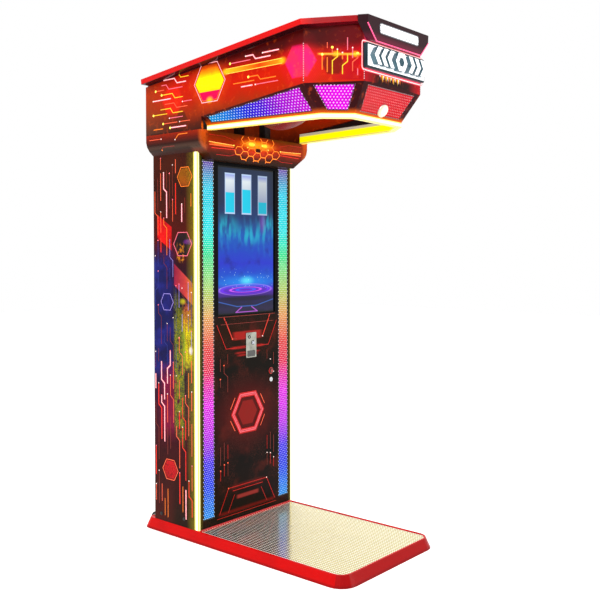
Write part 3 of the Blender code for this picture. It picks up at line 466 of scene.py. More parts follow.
def add_softbox(name, place, aim, size, watts, tint=(1.0, 1.0, 1.0)):
    data = bpy.data.lights.new(name, "AREA")
    data.shape = "RECTANGLE"
    data.size, data.size_y = size
    data.energy = watts
    data.color = tint
    light = bpy.data.objects.new(name, data)
    light.location = place
    light.rotation_euler = (Vector(aim) - Vector(place)).to_track_quat("-Z", "Y").to_euler()
    bpy.context.scene.collection.objects.link(light)


def add_studio():
    """A white room: the camera sees a bright backdrop, and surfaces see a softer one."""
    scene = bpy.context.scene
    scene.view_settings.view_transform = "Standard"
    scene.view_settings.look = "None"
    world = bpy.data.worlds.new("studio")
    world.use_nodes = True
    scene.world = world
    tree = world.node_tree
    tree.nodes.clear()
    output = tree.nodes.new("ShaderNodeOutputWorld")
    path = tree.nodes.new("ShaderNodeLightPath")
    seen = tree.nodes.new("ShaderNodeMath")
    seen.operation = "MAXIMUM"
    shader = tree.nodes.new("ShaderNodeMixShader")
    room = tree.nodes.new("ShaderNodeBackground")
    room.inputs["Color"].default_value = (0.93, 0.96, 1.0, 1.0)
    room.inputs["Strength"].default_value = 0.3
    backdrop = tree.nodes.new("ShaderNodeBackground")
    backdrop.inputs["Strength"].default_value = 1.0
    backdrop.inputs["Color"].default_value = (1.0, 1.0, 1.0, 1.0)
    tree.links.new(path.outputs["Is Camera Ray"], seen.inputs[0])
    tree.links.new(path.outputs["Is Glossy Ray"], seen.inputs[1])
    tree.links.new(seen.outputs[0], shader.inputs[0])
    tree.links.new(room.outputs[0], shader.inputs[1])
    tree.links.new(backdrop.outputs[0], shader.inputs[2])
    tree.links.new(shader.outputs[0], output.inputs[0])
    add_softbox("key_light", (-3.2, -2.4, 3.4), (0, -0.3, 1.0), (2.4, 2.4), 46)
    add_softbox("fill_light", (1.6, -3.6, 1.8), (0, -0.3, 1.0), (2.0, 2.6), 24, (1.0, 0.98, 0.95))
    add_softbox("back_light", (1.8, 2.8, 3.0), (0, 0.0, 1.2), (2.4, 2.0), 34)
    add_softbox("top_light", (0.0, -0.4, 4.2), (0, -0.4, 0.0), (2.6, 2.6), 40)

    bm = bmesh.new()
    bmesh.ops.create_grid(bm, x_segments=24, y_segments=24, size=14.0)
    for vert in bm.verts:
        vert.co.z = -0.0005
    mesh = bpy.data.meshes.new("studio_floor")
    bm.to_mesh(mesh)
    bm.free()
    floor = bpy.data.objects.new("studio_floor", mesh)
    bpy.context.scene.collection.objects.link(floor)
    paint = Paint("studio_floor_paint", (244, 244, 243))
    paint.light = 0.9
    paint.lay(paint.noise(900, 2), (240, 240, 239))
    mesh.materials.append(
        paint.finish(roughness=gloss(paint, 0.7, 0.06, 300), bump=paint.noise(6), depth=0.05, specular=0.1)
    )


# ---------------------------------------------------------------- materials of the metal and plastic


def lacquer(name, base, deep, roughness=0.2, light=0.0, coat_weight=0.08):
    """Sprayed gloss paint: slight orange peel, uneven depth of colour, fine dust in the coat."""
    paint = Paint(name, base)
    paint.lay(paint.noise(140, 4).fade(0.45, 0.75) * 0.6, deep)
    paint.lay(paint.noise(1.2, 2, shift=9).above(0.78, 0.02) * 0.25, (255, 235, 225))
    paint.light = light
    return paint.finish(
        roughness=gloss(paint, roughness, 0.06, 40), coat=coat_weight, coat_roughness=0.07,
        bump=paint.noise(2.4, 2, shift=4), depth=0.03, specular=0.12,
    )


def metal(name, base, dark, roughness=0.3, grain=(1, 1, 1), scratches=0.35, metallic=1.0):
    """Bare or plated metal: brushed or rolled grain, darker patches and fine scratches."""
    paint = Paint(name, base)
    paint.lay(paint.noise(35, 5).fade(0.4, 0.8) * 0.7, dark)
    lines = paint.noise(0.8, 3, stretch=grain, shift=5)
    paint.lay(lines.fade(0.55, 0.8) * scratches, dark)
    return paint.finish(
        roughness=lines * 0.12 + gloss(paint, roughness - 0.06, 0.07, 25),
        metallic=metallic, bump=lines, depth=0.04, anisotropic=0.3,
    )


def plastic(name, base, worn, roughness=0.45, texture=0.9, depth=0.06, coat_weight=0.0):
    """Moulded plastic or rubber: a fine spark-eroded texture, and slight fading where it is handled."""
    paint = Paint(name, base)
    paint.lay(paint.noise(30, 4).fade(0.5, 0.8) * 0.6, worn)
    speck = paint.cells(texture)
    paint.lay(speck.below(0.18, 0.05) * 0.3, worn)
    return paint.finish(
        roughness=gloss(paint, roughness, 0.08, 20), bump=speck, depth=depth, coat=coat_weight,
        specular=0.4,
    )


def coat_plain_parts():
    skirt = Paint("red_gloss_paint", (222, 0, 0))
    skirt.lay(skirt.noise(140, 4).fade(0.45, 0.75) * 0.5, (196, 0, 2))
    # The skirt glows a little: painted light, so its red stays bright in shade.
    skirt.light = 0.3
    # The front face is painted darker than the sides: painted shade.
    skirt.lay(skirt.facing(FRONT).above(0.3, 0.2), (176, 0, 3), 0.16)
    # Darker along the bottom, next to the floor: painted shade.
    skirt.lay(skirt.z.fade(14, 3) * 0.5, (120, 4, 8), 0.1)
    skirt.lay(skirt.noise(1.2, 2, shift=9).above(0.78, 0.02) * 0.25, (255, 200, 190))
    coat(
        skirt.finish(roughness=gloss(skirt, 0.18, 0.06, 40), coat=0.08, coat_roughness=0.07, specular=0.1,
                     bump=skirt.noise(2.4, 2, shift=4), depth=0.03),
        "base_skirt",
    )
    rail = Paint("red_rail_paint", (222, 6, 4))
    rail.lay(rail.noise(150, 4).fade(0.45, 0.75) * 0.5, (196, 4, 6))
    # The rail glows a little: painted light.
    rail.light = 0.28
    # The underside, which faces down, is painted dark maroon: painted shade.
    facing = rail.facing((0, 0, -1))
    rail.lay(facing.above(0.4, 0.1), (44, 4, 10), 0.05)
    # The front section round the slanted corners and nose, except its top, is painted darker: painted shade.
    nose = rail.y.below(-700, 20) * facing.above(-0.5, 0.1)
    rail.lay(nose * 0.6, (120, 10, 24), 0.1)
    coat(
        rail.finish(roughness=gloss(rail, 0.2, 0.05, 30), coat=0.08, specular=0.12, bump=rail.noise(2.2, 2),
            depth=0.03),
        "top_rail",
    )
    visor = Paint("maroon_gloss_paint", (46, 6, 18))
    visor.lay(visor.noise(60, 4).fade(0.4, 0.75) * 0.6, (36, 4, 14))
    # Paler and glowing towards its lower edge, beside the neon tube: painted light.
    visor.lay(visor.z.fade(2200, 2162) * 0.6, (130, 24, 60), 0.15)
    coat(visor.finish(roughness=gloss(visor, 0.2, 0.05, 30), coat=0.05, specular=0.12, bump=visor.noise(2.2, 2),
        depth=0.03), "visor")

    roof = Paint("roof_sheet_paint", (96, 12, 14))
    roof.lay(roof.noise(220, 5).fade(0.4, 0.7) * 0.7, (70, 8, 9))
    roof.lay(roof.noise(30, 6, stretch=(1, 0.3, 1), shift=8).fade(0.6, 0.8) * 0.35, (150, 110, 104))
    coat(roof.finish(roughness=gloss(roof, 0.42, 0.1, 90), coat=0.04, specular=0.15, bump=roof.noise(4),
        depth=0.06), "roof_panel")

    steel = metal("zinc_plated_steel", (188, 190, 188), (140, 140, 134), 0.36, (1, 1, 0.05))
    coat(steel, "cash_box", "power_supply", "latch_coil")
    frame_paint = Paint("rim_frame_paint", (250, 240, 150))
    frame_paint.lay(frame_paint.noise(40, 4).fade(0.45, 0.75) * 0.5, (236, 220, 90))
    # A bright yellow glowing band next to the rim light, and a paler glow above it: painted light from the tube.
    inward = frame_paint.z.between(1868, 1900, 4)
    frame_paint.lay(inward, (255, 246, 0), 0.75)
    frame_paint.lay(frame_paint.z.above(1900, 3), (226, 220, 196), 0.25)
    coat(frame_paint.finish(roughness=gloss(frame_paint, 0.35, 0.08, 25), metallic=0.2,
        bump=frame_paint.noise(2), depth=0.04),
         "rim_frame")
    coat(metal("swing_arm_steel", (150, 152, 155), (98, 98, 100), 0.3, (0.05, 1, 1)), "swing_arm")
    coat(metal("bright_chrome", (226, 228, 230), (176, 180, 186), 0.12, (0.2, 1, 1), 0.2),
         "door_lock", "rear_door_lock", "latch_plunger")
    coat(lacquer("grey_frame_enamel", (70, 74, 80), (44, 47, 52), 0.45, 0.0, 0.1), "head_frame")

    cast = Paint("cast_iron_enamel", (84, 92, 98))
    cast.lay(cast.noise(14, 5).fade(0.45, 0.7) * 0.7, (56, 62, 68))
    cast.lay(cast.noise(3, 2).above(0.7, 0.04) * 0.5, (134, 138, 140))
    coat(cast.finish(roughness=gloss(cast, 0.55, 0.08, 9), metallic=0.25, bump=cast.noise(1.6, 5), depth=0.35),
         "bearing_block_left", "bearing_block_right")

    rubber = plastic("black_rubber", (24, 24, 25), (52, 52, 52), 0.72, 1.2, 0.12)
    coat(rubber, "bump_stop", *[f"levelling_foot_{i}" for i in range(1, 5)])

    tyre = Paint("wheel_rubber", (30, 30, 32))
    across = tyre.reach(tyre.y - 352, tyre.z - 31)
    tyre.lay(across.below(20, 0.5), (196, 192, 184))
    tyre.lay(across.between(19.2, 21, 0.3), (12, 12, 12))
    tyre.lay(tyre.noise(9, 5).fade(0.45, 0.75) * 0.4, (88, 84, 78))
    coat(tyre.finish(roughness=gloss(tyre, 0.6, 0.1, 12), bump=tyre.noise(1.2, 4), depth=0.12),
         "transport_wheel_left", "transport_wheel_right")

    coat(plastic("black_moulded_plastic", (26, 26, 28), (60, 60, 62), 0.42),
         "monitor", "coin_validator", "fan_body", "fan_rotor", "power_inlet")
    coat(plastic("red_moulded_plastic", (206, 20, 18), (232, 60, 48), 0.28, 1.0, 0.03, 0.5),
         "power_switch", "start_button_housing")
    button = Paint("start_button_plastic", (38, 16, 16))
    spread = button.reach(button.x - 167, button.z - 734)
    button.lay(spread.below(8.5, 0.6), (150, 28, 22), 0.5)
    button.lay(spread.between(8.2, 9.2, 0.3), (14, 8, 8), 0.0)
    coat(button.finish(roughness=gloss(button, 0.25, 0.05, 5), coat=0.5, bump=button.cells(0.8), depth=0.02),
         "start_button")

    board = Paint("circuit_board_resist", (14, 84, 50))
    traces = board.y.wave(5.0).above(0.72, 0.1) * board.noise(16, 1).above(0.5, 0.01)
    board.lay(traces, (40, 130, 84))
    board.lay((board.z.wave(7.0).above(0.8, 0.1)) * board.noise(22, 1, shift=6).above(0.52, 0.01), (52, 140, 92))
    board.lay(board.x.above(-299.6, 0.2) * board.noise(10, 1, shift=3).above(0.56, 0.01), (28, 28, 30))
    coat(board.finish(roughness=gloss(board, 0.4, 0.08, 10), bump=traces, depth=0.08, coat=0.3), "game_board")

    core = Paint("platform_chipboard", (150, 122, 86))
    flakes = core.cells(5, stretch=(1, 1, 2.4))
    core.lay(flakes.fade(0.2, 0.7) * 0.8, (112, 86, 58))
    core.lay(core.noise(2, 4).above(0.62, 0.05) * 0.6, (190, 164, 124))
    coat(core.finish(roughness=gloss(core, 0.8, 0.06, 20), bump=flakes, depth=0.3), "base_core")


def coat_rear_panels():
    """Dark textured laminate on the back, with a fine leather-like emboss."""
    paint = Paint("rear_black_laminate", (30, 28, 30))
    paint.lay(paint.noise(160, 5).fade(0.45, 0.75) * 0.6, (46, 42, 44))
    emboss = paint.cells(2.4, stretch=(1, 1, 0.7))
    paint.lay(emboss.below(0.2, 0.08) * 0.35, (72, 68, 70))
    edge = paint.z.below(90, 30) * paint.noise(25, 5).fade(0.45, 0.65)
    paint.lay(edge * 0.6, (96, 90, 84))
    laminate = paint.finish(roughness=gloss(paint, 0.5, 0.08, 40), bump=emboss, depth=0.12, specular=0.35)
    coat(laminate, "rear_panel", "rear_door")


# ---------------------------------------------------------------- printed artwork
# The cabinet is wrapped in a glossy printed film with an abstract pattern: patches of warm and cool
# colour, with lines, hexagons and dots raised a little, as screen-printed ink is.

# Each ink is its colour and how brightly it glows; the glow is painted light, so the print stays bright in shade.
INKS = {
    "red": ((246, 40, 22), 0.55),
    "salmon": ((250, 96, 60), 0.6),
    "white": ((255, 226, 218), 0.8),
    "gold": ((252, 196, 40), 0.7),
    "orange": ((250, 122, 30), 0.6),
    "rose": ((250, 110, 130), 0.6),
    "lilac": ((170, 150, 236), 0.5),
    "blue": ((44, 58, 150), 0.25),
    "blush": ((204, 70, 76), 0.4),
    "brick": ((214, 74, 54), 0.4),
    "clay": ((150, 56, 46), 0.25),
    "brown": ((138, 40, 24), 0.2),
    "black": ((14, 10, 12), 0.0),
    "haze": ((196, 22, 14), 0.35),
    "yellow": ((254, 240, 90), 0.8),
}
INK_NAMES = list(INKS)


def make_inks():
    """One glossy ink of each colour, a little uneven in its density as printed ink is."""
    made = []
    for name, (colour, light) in INKS.items():
        paint = Paint(f"ink_{name}", colour)
        # The ink's glow is painted light.
        paint.light = light
        faded = tuple(int(c * 0.72) for c in colour)
        paint.lay(paint.noise(18, 4).fade(0.5, 0.8) * 0.6, faded, light * 0.7)
        made.append(
            paint.finish(roughness=gloss(paint, 0.35, 0.06, 10), specular=0.2, bump=paint.noise(1.5), depth=0.02)
        )
    return made


PRINT_INKS = make_inks()
FIRST_LIFT, LIFT_STEP, DOT_LIFT = 0.16, 0.004, 0.62


def add_print(name, surface, body, slot, lines=(), dots=(), patches=(), step=None):
    """A panel's raised ink: lines are (ink, width, points), dots are (ink, radius, points), and patches
    are (ink, points). Each patch or line is a little higher than the one before, and dots are highest."""
    bm = bmesh.new()
    lift = FIRST_LIFT
    for ink, points in patches:
        add_patch(bm, surface, points, lift, INK_NAMES.index(ink))
        lift += LIFT_STEP
    for ink, width, points in lines:
        add_line(bm, surface, points, width, lift, INK_NAMES.index(ink), step)
        lift += LIFT_STEP
    for ink, radius, points in dots:
        for centre in points:
            add_dot(bm, surface, centre, radius, DOT_LIFT, INK_NAMES.index(ink))
    return add_piece(name, bm, body, PRINT_INKS, smooth_angle=35)


def neon(width, points, core="white", edge="red"):
    """A bright line with a wider, darker one under it, like a lit tube drawn in print."""
    return [(edge, width * 2.1, points), (core, width, points)]


def hexagon(centre, radius, turn=0.0):
    return [
        (
            centre[0] + radius * math.cos(math.radians(60 * k + turn)),
            centre[1] + radius * math.sin(math.radians(60 * k + turn)),
        )
        for k in range(6)
    ]


def closed_run(corners):
    """A closed outline as points that start and end half way along its last side."""
    middle = tuple((a + b) / 2 for a, b in zip(corners[-1], corners[0]))
    return [middle, *corners, middle]


def circuit(seed, lanes, low, high, inks, run, kept_clear=()):
    """Tracks like a circuit board's, which never cross: each runs straight in its lane, and some step
    aside to the next lane and run on. kept_clear holds (lane place, from, to, reach) zones. Returns
    lines of (ink, width, points) with points as (lane place, distance), and the tracks' far ends."""
    draw = random.Random(seed)
    taken = [[] for _ in lanes]
    for place, start, end, reach in kept_clear:
        for lane, held in zip(lanes, taken):
            if abs(lane - place) < reach:
                held.append((start, end))

    def free(index, start, end):
        inside = 0 <= index < len(lanes) and end < high
        return inside and all(end < a or start > b for a, b in taken[index])

    lines, ends = [], []
    for index, lane in enumerate(lanes):
        place = low + draw.uniform(0, run[1] * 0.5)
        while place < high:
            bend = place + draw.uniform(*run)
            ink, width = draw.choice(inks(place) if callable(inks) else inks)
            other = index + draw.choice((-1, 1))
            onward = draw.uniform(*run) * 0.6
            if free(index, place - 5, bend + 5):
                points = [(lane, place), (lane, bend)]
                taken[index].append((place - 5, bend + 5))
                if free(other, bend - 5, bend + onward + 30):
                    step = abs(lanes[other] - lane) * 0.8
                    points += [(lanes[other], bend + step), (lanes[other], bend + step + onward)]
                    taken[other].append((bend - 5, bend + step + onward + 5))
                lines += neon(width, points, "white", "rose") if ink == "white" else [(ink, width, points)]
                ends.append(points[-1])
            place = bend + draw.uniform(12, 60)
    return lines, ends


def column_inks(height):
    """Cooler tracks in the column's blue middle, and warm ones above and below."""
    if 760 < height < 1290:
        return (("lilac", 2.0), ("blue", 2.2), ("blue", 1.8), ("brown", 2.2))
    return (("red", 5.2), ("red", 4.0), ("salmon", 3.8), ("salmon", 3.0), ("brown", 3.0), ("orange", 3.2),
        ("white", 3.6))


COLUMN_HEXAGONS = (("orange", 3.4, (88, 1668), 50), ("rose", 3.2, (104, 1360), 62),
    ("lilac", 2.4, (214, 1090), 44), ("salmon", 3.4, (196, 300), 54))
COLUMN_LINES, column_ends = circuit(
    41, [46 + 21 * k for k in range(13)], 70, 1775, column_inks, (50, 170),
    [(centre[0], centre[1] - r - 8, centre[1] + r + 8, r + 10) for _, _, centre, r in COLUMN_HEXAGONS],
)
COLUMN_LINES += [(ink, width, closed_run(hexagon(centre, r))) for ink, width, centre, r in COLUMN_HEXAGONS]
COLUMN_DOTS = [("white", 2.7, column_ends[::3]), ("rose", 3.0, column_ends[1::4])]


def column_film():
    paint = Paint("column_print_film", (70, 32, 30))
    # The glow given with most patches below is painted light, so the print stays vivid on its shaded side.
    y, z = paint.y, paint.z
    drift = paint.noise(160, 3)
    height = z + drift * 90 - 45
    paint.colour = paint.ramp(
        height,
        [
            (40, (44, 28, 12)), (160, (54, 20, 12)), (300, (66, 18, 14)), (420, (76, 16, 24)),
            (560, (84, 18, 44)), (700, (60, 20, 52)), (830, (38, 20, 52)), (980, (32, 24, 58)),
            (1130, (40, 20, 42)), (1270, (64, 18, 28)), (1360, (102, 18, 16)), (1460, (90, 24, 14)),
            (1600, (70, 26, 14)), (1740, (84, 30, 14)), (1866, (60, 26, 14)),
        ],
    )
    cloud = paint.noise(70, 4, shift=12)
    navy = y.fade(140, 215) * z.between(740, 1320, 50)
    paint.lay(navy, paint.mix(cloud.fade(0.35, 0.65), srgb(26, 28, 84), srgb(38, 40, 128)), 0.25)
    paint.lay(paint.polygon(y, z, hexagon((104, 1360), 58), 1.5), (48, 30, 34), 0.05)
    magenta = y.between(150, 250, 25) * z.between(470, 770, 40)
    paint.lay(magenta * 0.75, (150, 22, 66), 0.2)
    # the warm patches near the top
    paint.lay(
        paint.polygon(y, z, hexagon((88, 1668), 44), 1),
        paint.ramp(z, [(1595, (196, 84, 20)), (1680, (150, 84, 14)), (1765, (196, 110, 18))]), 0.3,
    )
    red = paint.polygon(y, z, [(282, 1500), (180, 1440), (180, 1330), (282, 1390)], 1)
    paint.lay(red, paint.mix(cloud.fade(0.3, 0.7), srgb(236, 24, 22), srgb(176, 16, 24)), 0.45)
    mottle = paint.noise(16, 4, shift=3).fade(0.45, 0.62)
    paint.lay(y.between(95, 142, 6) * z.between(1280, 1360, 10) * mottle, (214, 128, 24), 0.4)
    # the orange and crimson band between two black lines
    band = paint.polygon(y, z, [(164, 1270), (36, 1180), (36, 1080), (164, 1170)], 2)
    paint.lay(band, paint.ramp(y, [(35, (226, 116, 40)), (80, (206, 66, 60)), (160, (150, 30, 62))]), 0.45)
    paint.lay(paint.spot(y, z, (105, 1095), (19, 12), 0.6), (192, 178, 30), 0.5)
    paint.lay(paint.spot(y, z, (65, 1370), (30, 11), 0.5), (110, 40, 128), 0.35)
    # a column of orange turning to yellow
    glow = y.between(36, 104, 10) * (z + mottle * 30).between(805, 1085, 24)
    shade = paint.ramp(z + mottle * 30, [(780, (200, 188, 30)), (960, (226, 206, 10)), (1010, (214, 160, 24)),
        (1080, (206, 84, 56))])
    specks = paint.noise(5, 3, shift=33).fade(0.38, 0.6)
    olive = y.between(96, 164, 8) * (z - y).between(340, 960, 40) * paint.noise(26, 5, shift=5).fade(0.28, 0.5)
    paint.lay(olive, paint.mix(specks, srgb(60, 84, 50), srgb(150, 142, 22)), 0.3)
    paint.lay(glow * (specks * 0.35 + 0.65), shade, 0.6)
    paint.lay(y.between(88, 112, 5) * z.between(800, 960, 20) * 0.6, (96, 140, 46), 0.35)
    paint.lay(y.between(30, 92, 10) * z.between(470, 800, 40) * specks * 0.5, (92, 80, 16), 0.2)
    paint.lay(paint.spot(y, z, (50, 872), (11, 16), 0.6), (250, 236, 214), 0.8)
    # lower down
    low = paint.polygon(y, z, hexagon((196, 300), 48), 1)
    paint.lay(low, (196, 24, 30), 0.4)
    paint.lay(z.below(260, 60) * y.above(180, 30) * 0.6, (96, 24, 20), 0.1)
    # light that the corner tube throws on the film beside it
    paint.lay(y.below(58, 26) * z.below(1786, 4) * 0.55, (150, 134, 26), 0.4)
    # fine printed texture: dark specks and faint diagonal scan lines
    speckled = paint.noise(120, 2, shift=44).above(0.52, 0.04)
    paint.lay(paint.cells(14, "DISTANCE_TO_EDGE").below(0.05, 0.02) * speckled * 0.5, (28, 12, 16))
    paint.lay((y * 0.8 + z).wave(7).above(0.6, 0.3) * 0.10, (20, 6, 8))
    cloudy = paint.noise(90, 5, shift=21).fade(0.45, 0.7)
    paint.lay(cloudy * 0.28, (20, 10, 14))
    # bare laminate on the side that faces into the cabinet
    inner = (paint.facing(ACROSS) * paint.x).below(-100, 40)
    paint.lay(inner, paint.mix(cloudy, srgb(58, 52, 46), srgb(44, 40, 36)), 0.0)
    return paint.finish(
        roughness=gloss(paint, 0.34, 0.07, 60), coat=0.015, coat_roughness=0.12, specular=0.05,
        bump=paint.noise(3, 2), depth=0.02,
    )


HEAD_INKS = (("orange", 4.0), ("rose", 3.4), ("gold", 3.6), ("salmon", 3.4), ("white", 3.2))
SIDE_HEXAGON = hexagon((-124, 2062), 88)
CORNER_HEXAGON = hexagon((-22, 2080), 74)


def head_side_print():
    """The line art on the head's side, which runs from back to front: lines and dots in (y, z)."""
    lines, dots = [], []
    for seed, lanes, low, high in (
        (5, [1890 + 22 * k for k in range(12)], -12, 292), (8, [2018, 2036, 2054, 2124, 2142], -540, -232),
    ):
        tracks, ends = circuit(seed, lanes, low, high, HEAD_INKS, (46, 130))
        lines += [(ink, width, [(v, u) for u, v in points]) for ink, width, points in tracks]
        dots += [(v, u) for u, v in ends]
    for z in (2104, 2084):
        beam = [(-226, z), (-548, z)]
        lines += [("orange", 4, beam), ("yellow", 2.1, beam)]
    outline = closed_run(hexagon((-124, 2062), 97))
    lines += [("rose", 4, outline), ("white", 1.8, outline)]
    return lines, [("yellow", 5.6, dots[::3]), ("white", 3.0, dots[::2])]


def chamfer_print():
    """The line art on the head's slanted corner: lines and dots in (distance from the edge, z)."""
    lines, ends = circuit(23, [74 + 20 * k for k in range(8)], 2014, 2182, HEAD_INKS, (22, 62))
    beam = [(60, 2104), (232, 2104)]
    lines += [("orange", 3.2, beam), ("yellow", 1.7, beam)]
    return lines, [("yellow", 5.2, ends[::4]), ("white", 2.8, ends[::3])]


def head_film():
    """The head's print, painted along its length t: 0 at the corner, negative along the side towards
    the back, and positive round the slanted corner and nose."""
    paint = Paint("head_print_film", (214, 36, 6))
    y, z = paint.y, paint.z
    wide = abs(paint.x)
    ahead = HEAD_CORNER_Y - y
    t = ahead + ahead.most(0) * 0.335 + (NOSE_HALF - wide).most(0)
    cloud = paint.noise(80, 4, shift=7)
    paint.colour = paint.ramp(
        z + cloud * 60 - 30,
        [
            (1866, (60, 24, 14)), (1900, (96, 30, 12)), (1950, (160, 44, 8)), (2000, (196, 32, 2)),
            (2060, (214, 26, 0)), (2100, (190, 22, 0)), (2140, (120, 12, 0)), (2225, (70, 6, 0)),
        ],
    )
    # The film glows a little, and its bright patches more: painted light, so the print stays vivid in shade.
    paint.light = 0.32
    rear = y.fade(90, 300)
    paint.lay(rear * 0.75, paint.ramp(z, [(1866, (92, 56, 40)), (1960, (150, 60, 25)), (2050, (176, 60, 14)),
        (2130, (96, 24, 8))]), 0.2)
    # the large yellow hexagon and its halo
    side = wide.above(358, 2)
    paint.lay(side * paint.polygon(y, z, hexagon((-124, 2062), 120), 26) * 0.4, (226, 70, 4), 0.4)
    paint.lay(
        side * paint.polygon(y, z, SIDE_HEXAGON, 3),
        paint.ramp(z + cloud * 30 - 15, [(1975, (250, 180, 6)), (2030, (254, 200, 4)), (2050, (254, 240, 6)),
            (2080, (240, 240, 4)), (2105, (236, 150, 4)), (2128, (214, 70, 4))]),
        0.7,
    )
    paint.lay(side * paint.polygon(y, z, SIDE_HEXAGON, 1.5) * z.below(2024, 1.0), (228, 8, 74), 0.6)
    paint.lay(side * paint.polygon(y, z, hexagon((120, 2010), 70), 8) * 0.7, (236, 34, 14), 0.5)
    paint.lay(side * paint.polygon(y, z, hexagon((60, 1915), 42), 3) * 0.8, (104, 38, 14), 0.1)
    # the magenta hexagon that wraps round the front corner
    corner = paint.polygon(t, z, CORNER_HEXAGON, 3)
    paint.lay(paint.polygon(t, z, hexagon((-22, 2080), 102), 22) * 0.6, (214, 20, 30), 0.5)
    paint.lay(corner, paint.mix(cloud.fade(0.3, 0.7), srgb(252, 24, 100), srgb(240, 40, 70)), 0.75)
    # warm beams between the hexagons, and hot spots at their ends
    beam = side * y.between(-548, -226, 12) * z.between(2084, 2104, 3)
    paint.lay(beam, paint.ramp(y, [(-560, (250, 150, 20)), (-420, (226, 60, 6)), (-250, (250, 176, 20))]), 0.6)
    for v, u in ((2094, -548), (2094, -222), (1986, -124)):
        paint.lay(side * paint.spot(y, z, (u, v), (15, 11), 0.9) * 0.85, (255, 186, 20), 0.8)
    front = wide.below(362, 1)
    slant = front * t.between(2, 236, 3)
    paint.lay(slant * z.above(2004, 4) * t.fade(60, 200) * 0.85, (180, 0, 20), 0.34)
    # Darker along the top of the sides and slanted corners, under the rail's overhang: painted shadow of the rail.
    paint.lay(side.most(slant) * z.fade(2118, 2158) * 0.75, (70, 4, 8), 0.05)
    paint.lay(slant * paint.polygon(t, z, hexagon((118, 2066), 46), 4) * 0.7, (92, 18, 2), 0.2)
    paint.lay(slant * z.between(2100, 2108, 3) * t.between(60, 232, 8), (250, 140, 14), 0.6)
    for v, u in ((2104, 128), (2104, 206)):
        paint.lay(slant * paint.spot(t, z, (u, v), (12, 9), 0.9) * 0.85, (255, 180, 20), 0.8)
    nose = wide.below(NOSE_HALF, 2) * y.below(-838.5, 0.3)
    paint.lay(nose, paint.ramp(z, [(1995, (30, 8, 8)), (2030, (44, 8, 8)), (2046, (150, 14, 20)),
        (2100, (214, 20, 24)), (2160, (200, 40, 80)), (2190, (70, 10, 30)), (2215, (50, 8, 22))]), 0.3)
    paint.lay(nose * wide.above(150, 40) * z.below(2050, 12) * 0.8, (190, 8, 26), 0.4)
    halo = nose * paint.polygon(paint.x, z, [(-222, 2043), (222, 2043), (222, 2158), (-222, 2158)], 7)
    paint.lay(halo, (250, 84, 110), 0.8)
    # facet that leans in round the opening, painted darker than the walls above it: painted shade on a face that turns
    # downwards
    crease = t.above(-294, 294) * 68.4 + t.most(0) * 0.043 + 1921.3
    facet = z.below(crease, 1.2) * y.below(-71, 0.5)
    paint.lay(facet, paint.ramp(y, [(-840, (52, 6, 10)), (-600, (62, 8, 14)), (-200, (70, 12, 14)),
        (-60, (60, 14, 10))]), 0.1)
    paint.lay(facet * cloud.fade(0.45, 0.7) * 0.4, (36, 5, 8))
    # An orange glow along the facet's foot, beside the rim light: painted light.
    paint.lay(facet * z.fade(1908, 1884) * 0.9, (206, 84, 4), 0.55)
    lowest = side * y.above(-75, 6) * z.below(1872, 2) * 0.6
    paint.lay(lowest, (68, 26, 17), 0.05)
    # the underside and the inside stay plain and dark
    outline = [(-352, 290), (352, 290), (352, -655), (196, -829), (-196, -829), (-352, -655)]
    hidden = paint.polygon(paint.x, y, outline, 1) * z.above(1868, 1)
    paint.lay(hidden * facet.below(0.5, 0.3) * 0.9, (46, 14, 12), 0.0)
    paint.lay((t + z * 0.7).wave(8).above(0.6, 0.3) * 0.08, (30, 2, 4))
    paint.lay(paint.noise(24, 5, shift=17).fade(0.55, 0.75) * 0.25, (250, 90, 20))
    return paint.finish(
        roughness=gloss(paint, 0.32, 0.06, 70), coat=0.02, coat_roughness=0.1, specular=0.06,
        bump=paint.noise(3, 2), depth=0.02,
    )


# the front: fascia, service door and collar

FRONT_HEXAGON = hexagon((0, 551), 100)
FRONT_INKS = (("haze", 2.4), ("haze", 2.2), ("brown", 2.2), ("clay", 2.0))


def front_design():
    """The line art on the front, the same on both halves: lines and dots in (x, z)."""
    half = [
        ("haze", 6, [(158, 1016), (104, 912)]), ("brick", 3.2, [(158, 1016), (104, 912)]),
        ("haze", 3, [(206, 984), (146, 868), (74, 868)]), ("clay", 2, [(74, 912), (104, 912)]),
        ("haze", 3, [(0, 206), (132, 206), (192, 92)]), ("haze", 3, [(0, 188), (104, 188)]),
        ("haze", 2.4, [(92, 168), (134, 92)]), ("salmon", 3.2, [(88, 630), (118, 578)]),
        ("salmon", 3.2, [(118, 524), (88, 472)]), ("haze", 2.2, [(0, 74), (205, 74)]),
        ("clay", 1.8, [(0, 984), (182, 984)]), ("clay", 2.2, [(0, 1019), (196, 1019)]),
    ]
    ends = [(104, 912), (132, 206)]
    for low, high in ((236, 440), (650, 850)):
        tracks, far = circuit(low, [136, 160, 184], low, high, FRONT_INKS, (36, 90))
        half += tracks
        ends += far[::2]
    lines = [(ink, width, [(side * u, v) for u, v in points]) for ink, width, points in half for side in (-1, 1)]
    dots = [(side * u, v) for u, v in ends for side in (-1, 1)]
    return lines, [("salmon", 3.6, dots[::2]), ("white", 2.8, dots[1::2])]


# a honeycomb of flat-topped cells, squashed a little because the collar curves away below
CELL_ACROSS, CELL_RISE = 28.0, 18.0
COLLAR_CELLS = [
    (42 * k + 2, 1846 - CELL_RISE * (k % 2) - 2 * CELL_RISE * j)
    for k in range(-3, 4)
    for j in ((1,) if abs(k) == 3 else (0, 1, 2))
]


